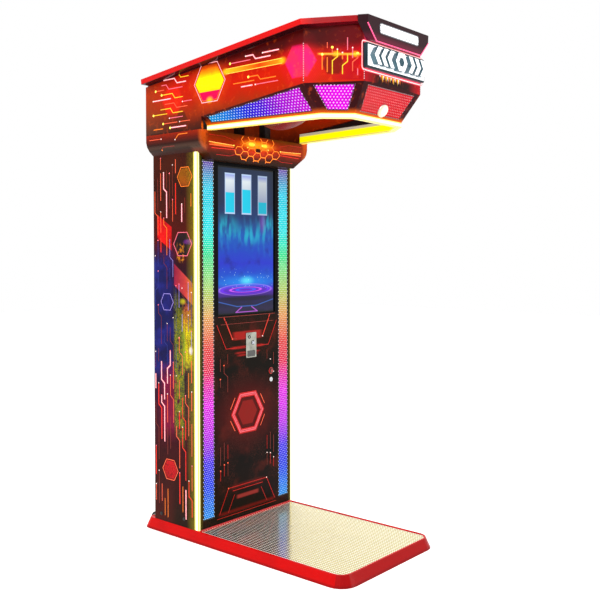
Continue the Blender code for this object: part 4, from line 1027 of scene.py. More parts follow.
def cut_by_box(points, low, high):
    """Parts of a polyline inside a box, and parts outside it, as two lists of polylines."""
    inner, outer = [], []
    for (u0, v0), (u1, v1) in zip(points, points[1:]):
        enter, leave = 0.0, 1.0
        for a, d, lo, hi in ((u0, u1 - u0, low[0], high[0]), (v0, v1 - v0, low[1], high[1])):
            if abs(d) < 1e-9:
                if not lo <= a <= hi:
                    enter, leave = 1.0, 0.0
                continue
            first, last = sorted(((lo - a) / d, (hi - a) / d))
            enter, leave = max(enter, first), min(leave, last)
        spans = [(enter, leave, inner), (0.0, enter, outer), (leave, 1.0, outer)]
        if enter >= leave:
            spans = [(0.0, 1.0, outer)]
        for start, end, home in sorted(spans, key=lambda s: s[0]):
            if end - start < 1e-3:
                continue
            a = (u0 + (u1 - u0) * start, v0 + (v1 - v0) * start)
            b = (u0 + (u1 - u0) * end, v0 + (v1 - v0) * end)
            if home and math.dist(home[-1][-1], a) < 1e-6:
                home[-1].append(b)
            else:
                home.append([a, b])
    return inner, outer


def front_film():
    """Near-black film with warm brown clouds, and red light glowing round the coin slot and hexagon."""
    paint = Paint("front_print_film", (34, 28, 24))
    x, z = paint.x, paint.z
    cloud = paint.noise(110, 4, shift=14)
    paint.colour = paint.ramp(
        z + cloud * 80 - 40,
        [
            (50, (16, 12, 10)), (180, (30, 14, 10)), (330, (18, 12, 9)), (440, (34, 13, 10)), (560, (40, 14, 11)),
            (680, (22, 14, 10)), (800, (22, 17, 11)), (930, (44, 20, 5)), (1030, (26, 20, 15)), (1785, (14, 12, 14)),
        ],
    )
    warm = cloud.fade(0.5, 0.72) * z.between(90, 1020, 40)
    paint.lay(warm * 0.8, (82, 26, 18), 0.08)
    paint.lay(paint.spot(x, z, (0, 552), (150, 120), 0.9) * 0.55, (120, 22, 20), 0.15)
    inside = paint.polygon(x, z, hexagon((0, 551), 66), 2)
    paint.lay(inside, (134, 28, 24), 0.3)
    for low, high, reach in ((905, 944, 96), (862, 874, 110), (838, 846, 80), (826, 834, 66)):
        paint.lay(abs(x).below(reach, 14) * z.between(low, high, 3) * 0.75, (176, 34, 30), 0.4)
    paint.lay(abs(x).below(74, 8) * z.between(144, 162, 3) * 0.7, (176, 58, 54), 0.3)
    paint.lay(z.between(196, 215, 6) * abs(x).below(110, 20) * 0.6, (110, 30, 26), 0.2)
    paint.lay(z.between(84, 98, 5) * abs(x).below(190, 20) * 0.5, (150, 20, 14), 0.25)
    # a fine honeycomb printed in the dark areas
    mesh = paint.cells(11, "DISTANCE_TO_EDGE").below(0.06, 0.02) * paint.noise(130, 2, shift=50).above(0.5, 0.05)
    paint.lay(mesh * 0.35 * z.below(1020, 5), (90, 40, 30))
    # the black border round the display
    border = x.between(-219, 219, 0.5) * z.above(1024, 0.8)
    paint.lay(border, (7, 6, 8), 0.0)
    for side in (-1, 1):  # light from the corner tubes on the film beside them
        paint.lay((x * side).above(300, 8) * 0.6, (110, 100, 14), 0.2)
    # painted steel behind
    paint.lay(paint.facing(BACK).above(0.7, 0.1), paint.mix(cloud, srgb(34, 34, 36), srgb(24, 24, 26)), 0.0)
    return paint.finish(
        roughness=gloss(paint, 0.3, 0.06, 60), coat=0.015, coat_roughness=0.1, specular=0.05,
        bump=paint.noise(3, 2), depth=0.02,
    )


def add_front_prints():
    door_low, door_high = (-206.2, 83.5), (206.2, 998.5)
    around_low, around_high = (-208.8, 80.5), (208.8, 1001.5)
    on_door, on_fascia = [], []
    lines, dots = front_design()
    for ink, width, points in lines:
        on_door += [(ink, width, part) for part in cut_by_box(points, door_low, door_high)[0]]
        for part in cut_by_box(points, around_low, around_high)[1]:
            on_fascia += [(ink, width, p) for p in cut_by_box(part, (-217, 60), (217, 1023))[0]]
    on_door += [
        ("haze", 24, hexagon_run(FRONT_HEXAGON)),
        ("blush", 15, hexagon_run(FRONT_HEXAGON)),
        ("rose", 3, hexagon_run([(x * 1.045, 551 + (z - 551) * 1.045) for x, z in FRONT_HEXAGON])),
        ("rose", 2, hexagon_run([(x * 0.945, 551 + (z - 551) * 0.945) for x, z in FRONT_HEXAGON])),
    ]
    door_dots = [(ink, r, [p for p in points if abs(p[0]) < 200 and 90 < p[1] < 990]) for ink, r, points in dots]
    door_face = Plane((0, -1.5, 0), ACROSS, UP, FRONT)
    clear = [stroke for stroke in on_door if not crosses_fittings(stroke)]
    add_print("service_door_print", door_face, "service_door", "black_panel", clear, door_dots)
    fascia_face = Plane((0, 0, 0), ACROSS, UP, FRONT)
    add_print("front_fascia_print", fascia_face, "cabinet", "black_panel", on_fascia)


def hexagon_run(points):
    """A closed outline drawn as one line that starts and ends in the middle of its first edge."""
    return closed_run(points[1:] + points[:1])


def crosses_fittings(stroke):
    """True where a stroke would run over the coin plate, the start button or the lock."""
    fittings = ((-16, 59, 812, 937), (148, 186, 715, 753), (152, 178, 689, 704))
    for (u0, v0), (u1, v1) in zip(stroke[2], stroke[2][1:]):
        for i in range(41):
            u, v = u0 + (u1 - u0) * i / 40, v0 + (v1 - v0) * i / 40
            if any(a - 3 < u < b + 3 and c - 3 < v < d + 3 for a, b, c, d in fittings):
                return True
    return False


def collar_film():
    paint = Paint("collar_print_film", (150, 50, 8))
    x, y, z = paint.x, paint.y, paint.z
    cloud = paint.noise(60, 4, shift=19)
    paint.colour = paint.ramp(
        z + cloud * 30 - 15,
        [(1741, (38, 20, 8)), (1765, (66, 22, 4)), (1790, (124, 28, 2)), (1820, (158, 36, 0)), (1866, (92, 38, 0))],
    )
    # The film glows a little, and its bright patches more: painted light, so the print stays vivid in shade.
    paint.light = 0.22
    front = y.below(-40, 6)
    middle = paint.spot(x, z, (2, 1816), (130, 40), 0.6) * front
    paint.lay(middle * 0.85, (206, 50, 8), 0.55)
    paint.lay(paint.spot(x, z, (2, 1826), (84, 17), 0.8) * front * 0.9, (254, 150, 10), 0.8)
    paint.lay(paint.spot(x, z, (-44, 1829), (26, 8), 0.8) * front * 0.9, (255, 216, 60), 0.9)
    paint.lay(paint.spot(x, z, (50, 1829), (22, 7), 0.8) * front * 0.9, (255, 216, 60), 0.9)
    shade = [(-10, 1812), (14, 1812), (20, 1800), (14, 1788), (-10, 1788), (-16, 1800)]
    paint.lay(paint.polygon(x, z, shade, 3) * front, (46, 12, 8), 0.05)
    for side in (-1, 1):
        band = (x * side).between(168, 300, 20) * z.between(1802, 1814, 2) * front
        paint.lay(band * 0.8, (246, 120, 30), 0.6)
    flank = abs(x).above(330, 12)
    stops = [
        (1741, (40, 22, 14)), (1786, (84, 62, 50)), (1806, (76, 50, 38)), (1820, (50, 16, 8)),
        (1838, (104, 22, 6)), (1866, (170, 36, 2)),
    ]
    paint.lay(flank, paint.ramp(z, stops), 0.12)
    paint.lay(flank * y.fade(-40, -66) * 0.6, (220, 90, 16), 0.4)
    paint.lay(paint.noise(14, 4, shift=2).fade(0.55, 0.7) * 0.4, (70, 20, 6))
    paint.lay(y.above(20, 12) * z.below(1800, 6) * 0.7, (30, 14, 10), 0.0)
    return paint.finish(
        roughness=gloss(paint, 0.34, 0.06, 40), coat=0.03, coat_roughness=0.1, specular=0.08,
        bump=paint.noise(3, 2), depth=0.02,
    )


def add_collar_print():
    face = Draped("collar", (0, 0, 0), ACROSS, UP, BACK)
    lines = []
    squash = CELL_ACROSS * math.sqrt(0.75)
    for centre in COLLAR_CELLS:
        cell = [(u, centre[1] + (v - centre[1]) * CELL_RISE / squash) for u, v in hexagon(centre, CELL_ACROSS)]
        for part in cut_by_box(hexagon_run(cell), (-335, 1750), (335, 1861))[0]:
            lines += [("red", 4.6, part), ("gold", 2.2, part)]
    for side in (-1, 1):
        lines += [
            ("salmon", 4, [(side * 160, 1812), (side * 316, 1816)]),
            ("yellow", 1.8, [(side * 160, 1812), (side * 316, 1816)]),
            ("salmon", 3, [(side * 160, 1803), (side * 316, 1804)]),
            ("red", 2.4, [(side * 150, 1794), (side * 300, 1790)]),
            ("haze", 2, [(side * 150, 1834), (side * 220, 1848), (side * 318, 1848)]),
            ("haze", 2, [(side * 130, 1778), (side * 176, 1764), (side * 262, 1764)]),
        ]
    dots = [("yellow", 3.2, [(-160, 1812), (160, 1812), (-26, 1828), (30, 1828), (-68, 1812), (72, 1812)])]
    add_print("collar_print", face, "cabinet", "head_panel", lines, dots, step=8)


def add_side_prints():
    for name, sign in SIDES:
        column = Plane((sign * COLUMN_HALF, 0, 0), BACK, UP, (sign, 0, 0))
        add_print(f"column_{name}_print", column, "cabinet", "cabinet_panel", COLUMN_LINES, COLUMN_DOTS)
        head = Plane((sign * HEAD_HALF, 0, 0), BACK, UP, (sign, 0, 0))
        add_print(f"head_{name}_print", head, "cabinet", "head_panel", *head_side_print())
        inward, forward = HEAD_HALF - NOSE_HALF, HEAD_CORNER_Y - NOSE_Y
        along = Vector((-sign * inward, -forward, 0)).normalized()
        out = Vector((sign * forward, -inward, 0)).normalized()
        chamfer = Plane((sign * HEAD_HALF, HEAD_CORNER_Y, 0), along, UP, out)
        add_print(f"head_corner_{name}_print", chamfer, "cabinet", "head_panel", *chamfer_print())
        flank = Draped("collar", (0, 0, 0), BACK, UP, (-sign, 0, 0))
        lines = [
            ("orange", 3.6, [(20, 1856), (80, 1856), (104, 1834)]), ("salmon", 3, [(284, 1844), (200, 1844)]),
            ("brown", 3, [(120, 1808), (200, 1808), (216, 1796)]),
        ]
        dots = [("white", 2.8, [(104, 1834), (200, 1844)]), ("orange", 3.2, [(216, 1796)])]
        add_print(f"collar_{name}_print", flank, "cabinet", "head_panel", lines, dots, step=8)


# ---------------------------------------------------------------- lights and perforated panels

# the strips' colour cycle up the column, and the side sheets' cycle from front to back
STRIP_COLOURS = [
    (88, (30, 150, 245)), (230, (25, 90, 245)), (350, (100, 80, 245)), (470, (190, 75, 245)), (620, (245, 75, 245)),
    (770, (245, 80, 115)), (880, (245, 105, 100)), (1010, (230, 175, 130)), (1130, (190, 205, 140)),
    (1310, (100, 240, 165)), (1430, (70, 240, 235)), (1610, (60, 200, 245)), (1730, (120, 105, 160)),
]
HEAD_COLOURS = [
    (-640, (205, 50, 220)), (-510, (185, 65, 245)), (-410, (120, 70, 245)), (-310, (60, 85, 250)),
    (-210, (25, 135, 245)), (-100, (55, 170, 250)),
]


def deeper(colour, amount=1.5):
    """The same hue further from grey."""
    grey = sum(colour) / 3
    return tuple(int(min(255, max(0, grey + (c - grey) * amount))) for c in colour)


def paler(colour, share=0.6):
    return tuple(int(c + (255 - c) * share) for c in colour)


def lit_sheet(name, along, stops, strength):
    """A thin sheet lit from behind and in its own colour, with a satin face."""
    paint = Paint(name, (12, 11, 14))
    paint.light = paint.noise(30, 2).fade(0.2, 0.8) * 0.2 + (strength - 0.1)
    field = getattr(paint, along)
    glow = paint.ramp(field, [(v, deeper(c, 1.9)) for v, c in stops])
    return paint.finish(roughness=gloss(paint, 0.5, 0.06, 20), glow=glow, bump=paint.noise(1.5), depth=0.02,
        specular=0.03)


def lit_diffuser(name, along, stops, strength, outward):
    """The bright diffuser behind a perforated sheet: hot over each diode and softer between them.
    Only its outer face glows: outward is the field that is above 0 there."""
    paint = Paint(name, (70, 70, 76))
    diodes = paint.cells(12).below(0.35, 0.3)
    paint.light = (diodes * 0.5 + strength) * outward(paint).above(0, 0.02)
    glow = paint.ramp(getattr(paint, along), [(v, paler(deeper(c, 1.2), 0.7)) for v, c in stops])
    return paint.finish(roughness=gloss(paint, 0.5, 0.05, 20), glow=glow, bump=paint.noise(2), depth=0.02,
        specular=0.03)


def front_outline(node, outward):
    """The plane and outline of a CAD panel's visible face: its Plane, and its corners in (u, v)."""
    bm = bmesh.new()
    bm.from_mesh(NODES[node].data)
    bmesh.ops.remove_doubles(bm, verts=bm.verts, dist=1e-5)
    bmesh.ops.dissolve_limit(bm, angle_limit=math.radians(2), verts=bm.verts, edges=bm.edges)
    outward = Vector(outward)
    facing = [f for f in bm.faces if f.normal.dot(outward) > 0.3]
    face = max(facing, key=lambda f: f.calc_area())
    normal = face.normal.copy()
    u_axis = Vector((0, 0, 1)).cross(normal).normalized()
    v_axis = normal.cross(u_axis)
    origin = face.verts[0].co / MM
    corners = [
        ((v.co / MM - origin).dot(u_axis), (v.co / MM - origin).dot(v_axis)) for v in face.verts
    ]
    bm.free()
    return Plane(origin, u_axis, v_axis, normal), corners


def add_perforated(name, plane, corners, body, materials, pitch=10.0, hole=2.6, thickness=0.8, rise=0.02,
    dark_edge=5.0):
    """A thin sheet with round holes in a staggered pattern, trimmed to a convex outline.
    The first material is the sheet's, and the second is for a band dark_edge wide along its edges."""
    bm = bmesh.new()
    low = [min(c[k] for c in corners) for k in (0, 1)]
    high = [max(c[k] for c in corners) for k in (0, 1)]
    middle = [(a + b) / 2 for a, b in zip(low, high)]
    rows = math.ceil((high[1] - low[1]) / (pitch * math.sqrt(3) / 2) / 2) + 1
    columns = math.ceil((high[0] - low[0]) / pitch / 2) + 1
    for row in range(-rows, rows + 1):
        for column in range(-columns, columns + 1):
            u = middle[0] + (column + (row % 2) / 2) * pitch
            v = middle[1] + row * pitch * math.sqrt(3) / 2
            if not (low[0] - pitch < u < high[0] + pitch and low[1] - pitch < v < high[1] + pitch):
                continue
            outer, inner = [], []
            for k in range(12):
                angle = math.radians(30 * k)
                reach = pitch / 2 if k % 2 == 0 else pitch / math.sqrt(3)
                outer.append(bm.verts.new((u + reach * math.cos(angle), v + reach * math.sin(angle), 0)))
                inner.append(bm.verts.new((u + hole * math.cos(angle), v + hole * math.sin(angle), 0)))
            for k in range(12):
                n = (k + 1) % 12
                bm.faces.new((outer[k], outer[n], inner[n], inner[k]))
    bmesh.ops.remove_doubles(bm, verts=bm.verts, dist=0.01)
    centre = Vector((sum(c[0] for c in corners), sum(c[1] for c in corners), 0)) / len(corners)
    planes = []
    for (u0, v0), (u1, v1) in zip(corners, corners[1:] + corners[:1]):
        normal = Vector((v1 - v0, u0 - u1, 0)).normalized()
        if normal.dot(centre - Vector((u0, v0, 0))) > 0:
            normal = -normal
        planes.append((Vector((u0, v0, 0)), normal))
        bmesh.ops.bisect_plane(
            bm, geom=bm.verts[:] + bm.edges[:] + bm.faces[:], plane_co=Vector((u0, v0, 0)) - normal * 0.4,
            plane_no=normal, clear_outer=True, dist=0.01,
        )
    for face in bm.faces:
        place = face.calc_center_median()
        depth = min((corner - place).dot(normal) for corner, normal in planes)
        face.material_index = 1 if depth < dark_edge else 0
    grown = bmesh.ops.extrude_face_region(bm, geom=bm.faces[:], use_keep_orig=True)
    for item in grown["geom"]:
        if isinstance(item, bmesh.types.BMVert):
            item.co.z = thickness
    bmesh.ops.recalc_face_normals(bm, faces=bm.faces)
    for vert in bm.verts:
        vert.co = plane.at(vert.co.x, vert.co.y, vert.co.z + rise)
    return add_piece(name, bm, body, materials)


def add_light_panels():
    black = plastic("sheet_edge_ink", (14, 13, 16), (40, 38, 42), 0.4)

    def ahead(paint):
        return paint.facing(FRONT)

    def sideways(paint):
        return paint.facing(ACROSS) * paint.x

    def slantwise(paint):
        return paint.facing(ACROSS) * paint.x + paint.facing(FRONT) * 300

    strip = lit_sheet("strip_sheet_film", "z", STRIP_COLOURS, 0.78)
    strip_back = lit_diffuser("strip_diffuser", "z", STRIP_COLOURS, 1.0, ahead)
    head = lit_sheet("head_sheet_film", "y", HEAD_COLOURS, 0.7)
    head_back = lit_diffuser("head_diffuser", "y", HEAD_COLOURS, 0.95, sideways)
    corner_stops = [(1890, (236, 0, 214)), (2000, (250, 20, 236))]
    corner = lit_sheet("corner_sheet_film", "z", corner_stops, 0.85)
    corner_back = lit_diffuser("corner_diffuser", "z", corner_stops, 1.1, slantwise)
    nose_stops = [(1890, (214, 32, 48)), (2000, (230, 60, 76))]
    nose = lit_sheet("nose_sheet_film", "z", nose_stops, 0.8)
    nose_back = lit_diffuser("nose_diffuser", "z", nose_stops, 0.75, ahead)
    for name, sign in SIDES:
        plane, corners = front_outline(f"mesh_strip_{name}", (0, -1, 0))
        add_perforated(f"strip_sheet_{name}", plane, corners, "cabinet", [strip, black], 11.0, 2.6, dark_edge=6.0)
        coat(strip_back, f"mesh_strip_{name}")
        plane, corners = front_outline(f"mesh_side_{name}", (sign, 0, -0.3))
        add_perforated(f"side_sheet_{name}", plane, corners, "cabinet", [head, black], 15.0, 3.4, dark_edge=4.0)
        coat(head_back, f"mesh_side_{name}")
        plane, corners = front_outline(f"mesh_corner_{name}", (sign, -1, -0.3))
        add_perforated(f"corner_sheet_{name}", plane, corners, "cabinet", [corner, black], 14.0, 3.1, dark_edge=4.0)
        coat(corner_back, f"mesh_corner_{name}")
    plane, corners = front_outline("mesh_front", (0, -1, -0.3))
    add_perforated("nose_sheet", plane, corners, "cabinet", [nose, black], 13.0, 2.9, dark_edge=4.0)
    coat(nose_back, "mesh_front")
    return plane


def coat_lights():
    tube = Paint("corner_light_diffuser", (250, 246, 214))
    across = abs(tube.y - 15) / 15
    edge = across.fade(0.35, 1.0)
    cut = tube.ramp(across, [(0, (255, 254, 236)), (0.4, (252, 248, 190)), (0.7, (226, 214, 60)), (1.0, (150, 138, 6))])
    tube.colour = cut
    tube.light = 1.0 - edge * 0.25 + tube.z.wave(16.6) * 0.03
    flank = tube.facing(FRONT).above(0.7, 0.1)
    tube.lay(flank, (250, 244, 176), 0.8)
    coat(tube.finish(roughness=gloss(tube, 0.3, 0.05, 20), coat=0.3, bump=tube.z.wave(1.4) + tube.noise(3), depth=0.02),
         "corner_light_left", "corner_light_right")
    rim = Paint("rim_light_diffuser", (255, 240, 190))
    height = rim.z
    rim.colour = rim.ramp(height, [(1864, (255, 190, 60)), (1869, (255, 244, 190)), (1876, (255, 250, 214)),
        (1882, (255, 214, 90)), (1885, (240, 140, 30))])
    rim.light = 1.15 + (rim.x + rim.y).wave(16.6) * 0.04
    coat(rim.finish(roughness=gloss(rim, 0.3, 0.05, 20), coat=0.3, bump=rim.noise(3), depth=0.03), "rim_light")
    lamp = Paint("lamp_diffuser", (250, 236, 206))
    away = lamp.reach(lamp.x, lamp.z - 1912)
    lamp.lay(away.fade(14, 24) * 0.7, (232, 190, 160))
    lamp.light = away.fade(26, 4) * 0.5 + 0.5
    coat(lamp.finish(roughness=gloss(lamp, 0.3, 0.05, 10), coat=0.4, bump=lamp.cells(3), depth=0.15), "front_lamp")
    white = Paint("visor_diffuser", (120, 122, 128))
    white.light = white.noise(30).fade(0.2, 0.8) * 0.1 + 0.2
    coat(white.finish(roughness=gloss(white, 0.35, 0.05, 20), bump=white.cells(2.4), depth=0.05), "visor_light")
    button = Paint("return_button_plastic", (214, 220, 232))
    reach = button.reach(button.x - 34, button.z - 885)
    button.lay(reach.between(4.6, 6.0, 0.3), (60, 66, 80))
    button.light = reach.fade(5, 1) * 0.4
    coat(button.finish(roughness=gloss(button, 0.25, 0.05, 6), coat=0.4, bump=button.noise(1), depth=0.02),
         "coin_return_button")


def display_glass():
    """The display behind its glass: three plain gauge bars over a lit blue floor, all abstract shapes."""
    paint = Paint("display_glass", (10, 12, 18))
    x, z = paint.x, paint.z
    cloud = paint.noise(70, 4, shift=3)
    paint.colour = paint.ramp(
        z + cloud * 60 - 30,
        [
            (1028, (18, 18, 44)), (1050, (40, 30, 74)), (1075, (24, 24, 66)), (1105, (36, 26, 96)),
            (1130, (96, 44, 200)), (1150, (60, 60, 226)), (1175, (20, 110, 238)), (1215, (16, 84, 226)),
            (1270, (36, 56, 226)), (1330, (16, 78, 214)), (1400, (4, 100, 206)), (1440, (16, 90, 170)),
            (1490, (18, 56, 112)), (1560, (24, 40, 64)), (1640, (26, 38, 52)), (1726, (24, 36, 46)),
        ],
    )
    paint.light = 0.8
    paint.lay(paint.noise(60, 4, shift=40).fade(0.5, 0.75) * z.between(1200, 1430, 40) * 0.6, (20, 26, 140), 0.8)
    ragged = paint.noise(26, 3, stretch=(1, 1, 0.25), shift=15).fade(0.42, 0.62)
    for middle, half in (((-136, 1436), (60, 44)), ((140, 1446), (50, 50)), ((20, 1404), (80, 34))):
        paint.lay(paint.spot(x, z, middle, half, 0.9) * ragged * 0.8, (16, 196, 220), 0.9)
    paint.lay(paint.spot(x, z, (112, 1470), (16, 40), 0.9) * 0.6, (150, 50, 200), 0.8)
    shafts = (x + z * 0.1).wave(41).above(0.5, 0.5) * z.between(1330, 1470, 40) * cloud.fade(0.4, 0.7)
    paint.lay(shafts * 0.6, (30, 170, 226), 0.9)
    paint.lay(paint.spot(x, z, (0, 1180), (130, 26), 0.95) * 0.7, (24, 150, 250), 1.0)
    paint.lay(paint.spot(x, z, (0, 1186), (34, 15), 0.95) * 0.9, (90, 230, 255), 1.0)
    # arena floor: rings of light in perspective
    paint.lay(paint.spot(x, z, (-6, 1122), (176, 22), 0.4), (74, 30, 150), 0.8)
    paint.lay(paint.spot(x, z, (-6, 1108), (176, 20), 0.3) * z.below(1112, 6), (24, 18, 60), 0.7)
    paint.lay(paint.spot(x, z, (-6, 1140), (150, 17), 0.5), (104, 30, 214), 0.9)
    for radii, width, colour in (
        ((178, 27), 0.028, (170, 120, 255)), ((160, 21), 0.06, (110, 40, 240)),
        ((104, 12), 0.08, (220, 90, 250)), ((60, 7), 0.2, (60, 90, 250)),
    ):
        paint.lay(paint.ring(x, z, (-6, 1143), radii, width, 0.05), colour, 1.05)
    sparks = paint.cells(15).below(0.12, 0.06) * z.between(1150, 1235, 20)
    paint.lay(sparks, (190, 240, 255), 1.1)
    for start, end in (((-186, 1090), (-66, 1064)), ((-66, 1064), (66, 1064)), ((66, 1064), (186, 1090))):
        paint.lay(paint.stroke(x, z, start, end, 0.8, 3.0) * 0.8, (60, 110, 210), 0.9)
    for start, end in (((-34, 1060), (-74, 1036)), ((34, 1060), (74, 1036)), ((-74, 1036), (74, 1036))):
        paint.lay(paint.stroke(x, z, start, end, 1.0, 3.0), (190, 90, 220), 0.95)
    # three plain gauge bars, each filled to a different mark
    for middle, level, light in ((-112, 1604, 1.0), (0, 1622, 1.0), (112, 1566, 0.75)):
        across = abs(x - middle)
        bar = across.below(30, 1) * z.between(1506, 1692, 1)
        paint.lay(paint.spot(x, z, (middle, 1600), (64, 128), 0.9) * 0.3, (20, 70, 150), 0.8)
        tint = paint.ramp(z, [(1506, (120, 140, 200)), (1660, (226, 236, 240)), (1692, (140, 156, 236))])
        paint.lay(bar, tint, light)
        paint.lay(bar * z.below(level, 1), (4, 206, 236), light)
        rim = across.above(29, 0.6) + z.above(1688, 0.6) + z.below(1510, 0.6)
        paint.lay(across.below(33, 1) * z.between(1503, 1695, 1) * rim, (190, 214, 250), light)
    paint.lay(z.above(1719, 1) + abs(x).above(189, 1.0) + z.below(1034, 1), (6, 6, 9), 0.05)
    picture = paint.colour
    paint.colour = srgb(4, 4, 6)
    paint.light = (x.wave(2.2) * 0.03 + z.wave(2.2) * 0.03 + 1.0) * paint.light
    return paint.finish(
        roughness=gloss(paint, 0.1, 0.03, 60), coat=0.1, coat_roughness=0.02, glow=picture, specular=0.2,
        bump=paint.noise(120, 1), depth=0.02,
    )


# ---------------------------------------------------------------- sign, visor and trims


def rounded_outline(half_u, low_v, high_v, radius, steps=5):
    """A rounded rectangle about u = 0, starting in the middle of its bottom edge."""
    points = [(0.0, low_v)]
    for u, v, start in (
        (half_u - radius, low_v + radius, -90), (half_u - radius, high_v - radius, 0),
        (-half_u + radius, high_v - radius, 90), (-half_u + radius, low_v + radius, 180),
    ):
        for k in range(steps + 1):
            angle = math.radians(start + 90 * k / steps)
            points.append((u + radius * math.cos(angle), v + radius * math.sin(angle)))
    return points + [(0.0, low_v)]


def add_sign():
    """The sign's glow on the head's nose, its lit edge, and the splash printed below it."""
    nose = Plane((0, NOSE_Y, 0), ACROSS, UP, FRONT)
    halo = rounded_outline(219, 2044, 2157, 12)
    lines = [("rose", 8, halo), ("white", 4.5, halo)]
    splash = []
    for i in range(17):
        left = -100 + i * 9
        tip = 2030 - 9 * abs(math.sin(i * 2.4)) - 4 * (i % 3)
        ink = ("white", "orange", "gold")[i % 3]
        splash.append((ink, [(left, 2039), (left + 7, 2039), (left + 5 - 3 * (i % 2), tip)]))
    add_print("nose_print", nose, "cabinet", "head_panel", lines, patches=splash)

    teal = Paint("sign_teal_acrylic", (10, 44, 54))
    teal.light = 0.12
    teal.lay(teal.z.fade(2140, 2060) * 0.7, (6, 26, 34), 0.05)
    teal.lay(teal.noise(26, 4).fade(0.45, 0.75) * 0.4, (16, 66, 78), 0.15)
    coat(teal.finish(roughness=gloss(teal, 0.3, 0.04, 30), coat=0.1, specular=0.2, bump=teal.noise(3),
        depth=0.02), "sign_plate")
    white = Paint("sign_white_acrylic", (250, 250, 252))
    white.light = 0.7
    side = 1 - white.facing(FRONT).above(0.8, 0.1)
    white.lay(white.noise(50).fade(0.5, 0.8) * 0.4, (232, 240, 246), 0.62)
    white.lay(side, (70, 104, 116), 0.15)
    coat(white.finish(roughness=gloss(white, 0.25, 0.04, 30), coat=0.1, bump=white.noise(3), depth=0.02), "sign_emblem")


def add_tube(name, points, radius, body, material, sides=12, step=None):
    """A round tube along points in metres, with closed ends."""
    points = divided(points, step) if step else points
    points = [Vector(p) for p in points]
    sections, side = [], None
    for i, p in enumerate(points):
        way = (points[min(i + 1, len(points) - 1)] - points[max(i - 1, 0)]).normalized()
        if side is None:
            side = way.orthogonal().normalized()
        side = (side - way * side.dot(way)).normalized()
        up = way.cross(side)
        scale = 1.0
        if 0 < i < len(points) - 1:
            turn = (p - points[i - 1]).normalized().dot((points[i + 1] - p).normalized())
            scale = 1 / max(0.5, math.sqrt((1 + turn) / 2))
        sections.append([p + around(side, up, 2 * math.pi * k / sides) * radius * scale for k in range(sides)])
    bm = bmesh.new()
    add_solid_strip(bm, sections)
    return add_piece(name, bm, body, [material], smooth_angle=40)


def add_visor_neon():
    paint = Paint("neon_tube_glass", (252, 70, 130))
    paint.light = 0.95 + paint.x.wave(9) * 0.06
    glass = paint.finish(roughness=gloss(paint, 0.12, 0.03, 20), coat=0.6, bump=paint.noise(2), depth=0.02)
    line = [
        (-0.2205, -0.8685, 2.2205), (-0.1615, -0.8685, 2.1585), (0.1615, -0.8685, 2.1585), (0.2205, -0.8685, 2.2205),
    ]
    add_tube("visor_neon_tube", line, 0.0024, "cabinet", glass, step=0.02)
    plane = Plane((0, -871.0, 0), ACROSS, UP, FRONT)
    sheet = Paint("visor_sheet_enamel", (240, 240, 242))
    sheet.light = 0.62
    sheet.lay(sheet.noise(20, 3).fade(0.45, 0.75) * 0.4, (222, 224, 228), 0.5)
    face = sheet.finish(roughness=gloss(sheet, 0.35, 0.05, 20), bump=sheet.noise(2), depth=0.03)
    corners = rounded_outline(139, 2195, 2232, 8, 3)[1:-1]
    add_perforated("visor_sheet", plane, corners, "cabinet", [face, face], 11.0, 2.9, 0.5)


def add_revolved(bm, centre, axis, profile, sides=20):
    """Skins a profile of (radius, height) pairs in metres round an axis, closed at both ends."""
    axis = Vector(axis).normalized()
    side = axis.orthogonal().normalized()
    up = axis.cross(side)
    sections = [
        [
            Vector(centre) + axis * h + around(side, up, 2 * math.pi * k / sides) * max(r, 1e-5)
            for k in range(sides)
        ]
        for r, h in profile
    ]
    add_solid_strip(bm, sections)


SCREW_PROFILE = [(3.4, -0.4), (3.4, 0.35), (3.1, 0.95), (2.3, 1.5), (1.55, 1.62), (1.5, 0.7), (0.2, 0.68)]
RIVET_PROFILE = [(2.6, -0.3), (2.6, 0.2), (2.3, 0.75), (1.4, 1.2), (0.3, 1.35)]
CAP_PROFILE = [(9.0, -0.4), (9.0, 1.2), (8.2, 2.4), (5.5, 3.2), (0.4, 3.5)]


def scaled_profile(profile, scale=1.0):
    """A profile in millimetres as one in metres, scaled."""
    return [(r * scale * MM, h * scale * MM) for r, h in profile]


def add_fixings(name, body, material, profile, places):
    """Screws, rivets or caps as one piece: places are (centre in metres, outward direction)."""
    bm = bmesh.new()
    for centre, outward in places:
        add_revolved(bm, centre, outward, profile)
    return add_piece(name, bm, body, [material], smooth_angle=38)


def along_line(start, end, count):
    """Points spread evenly between two ends, both included."""
    start, end = Vector(start), Vector(end)
    return [start.lerp(end, i / (count - 1)) for i in range(count)]


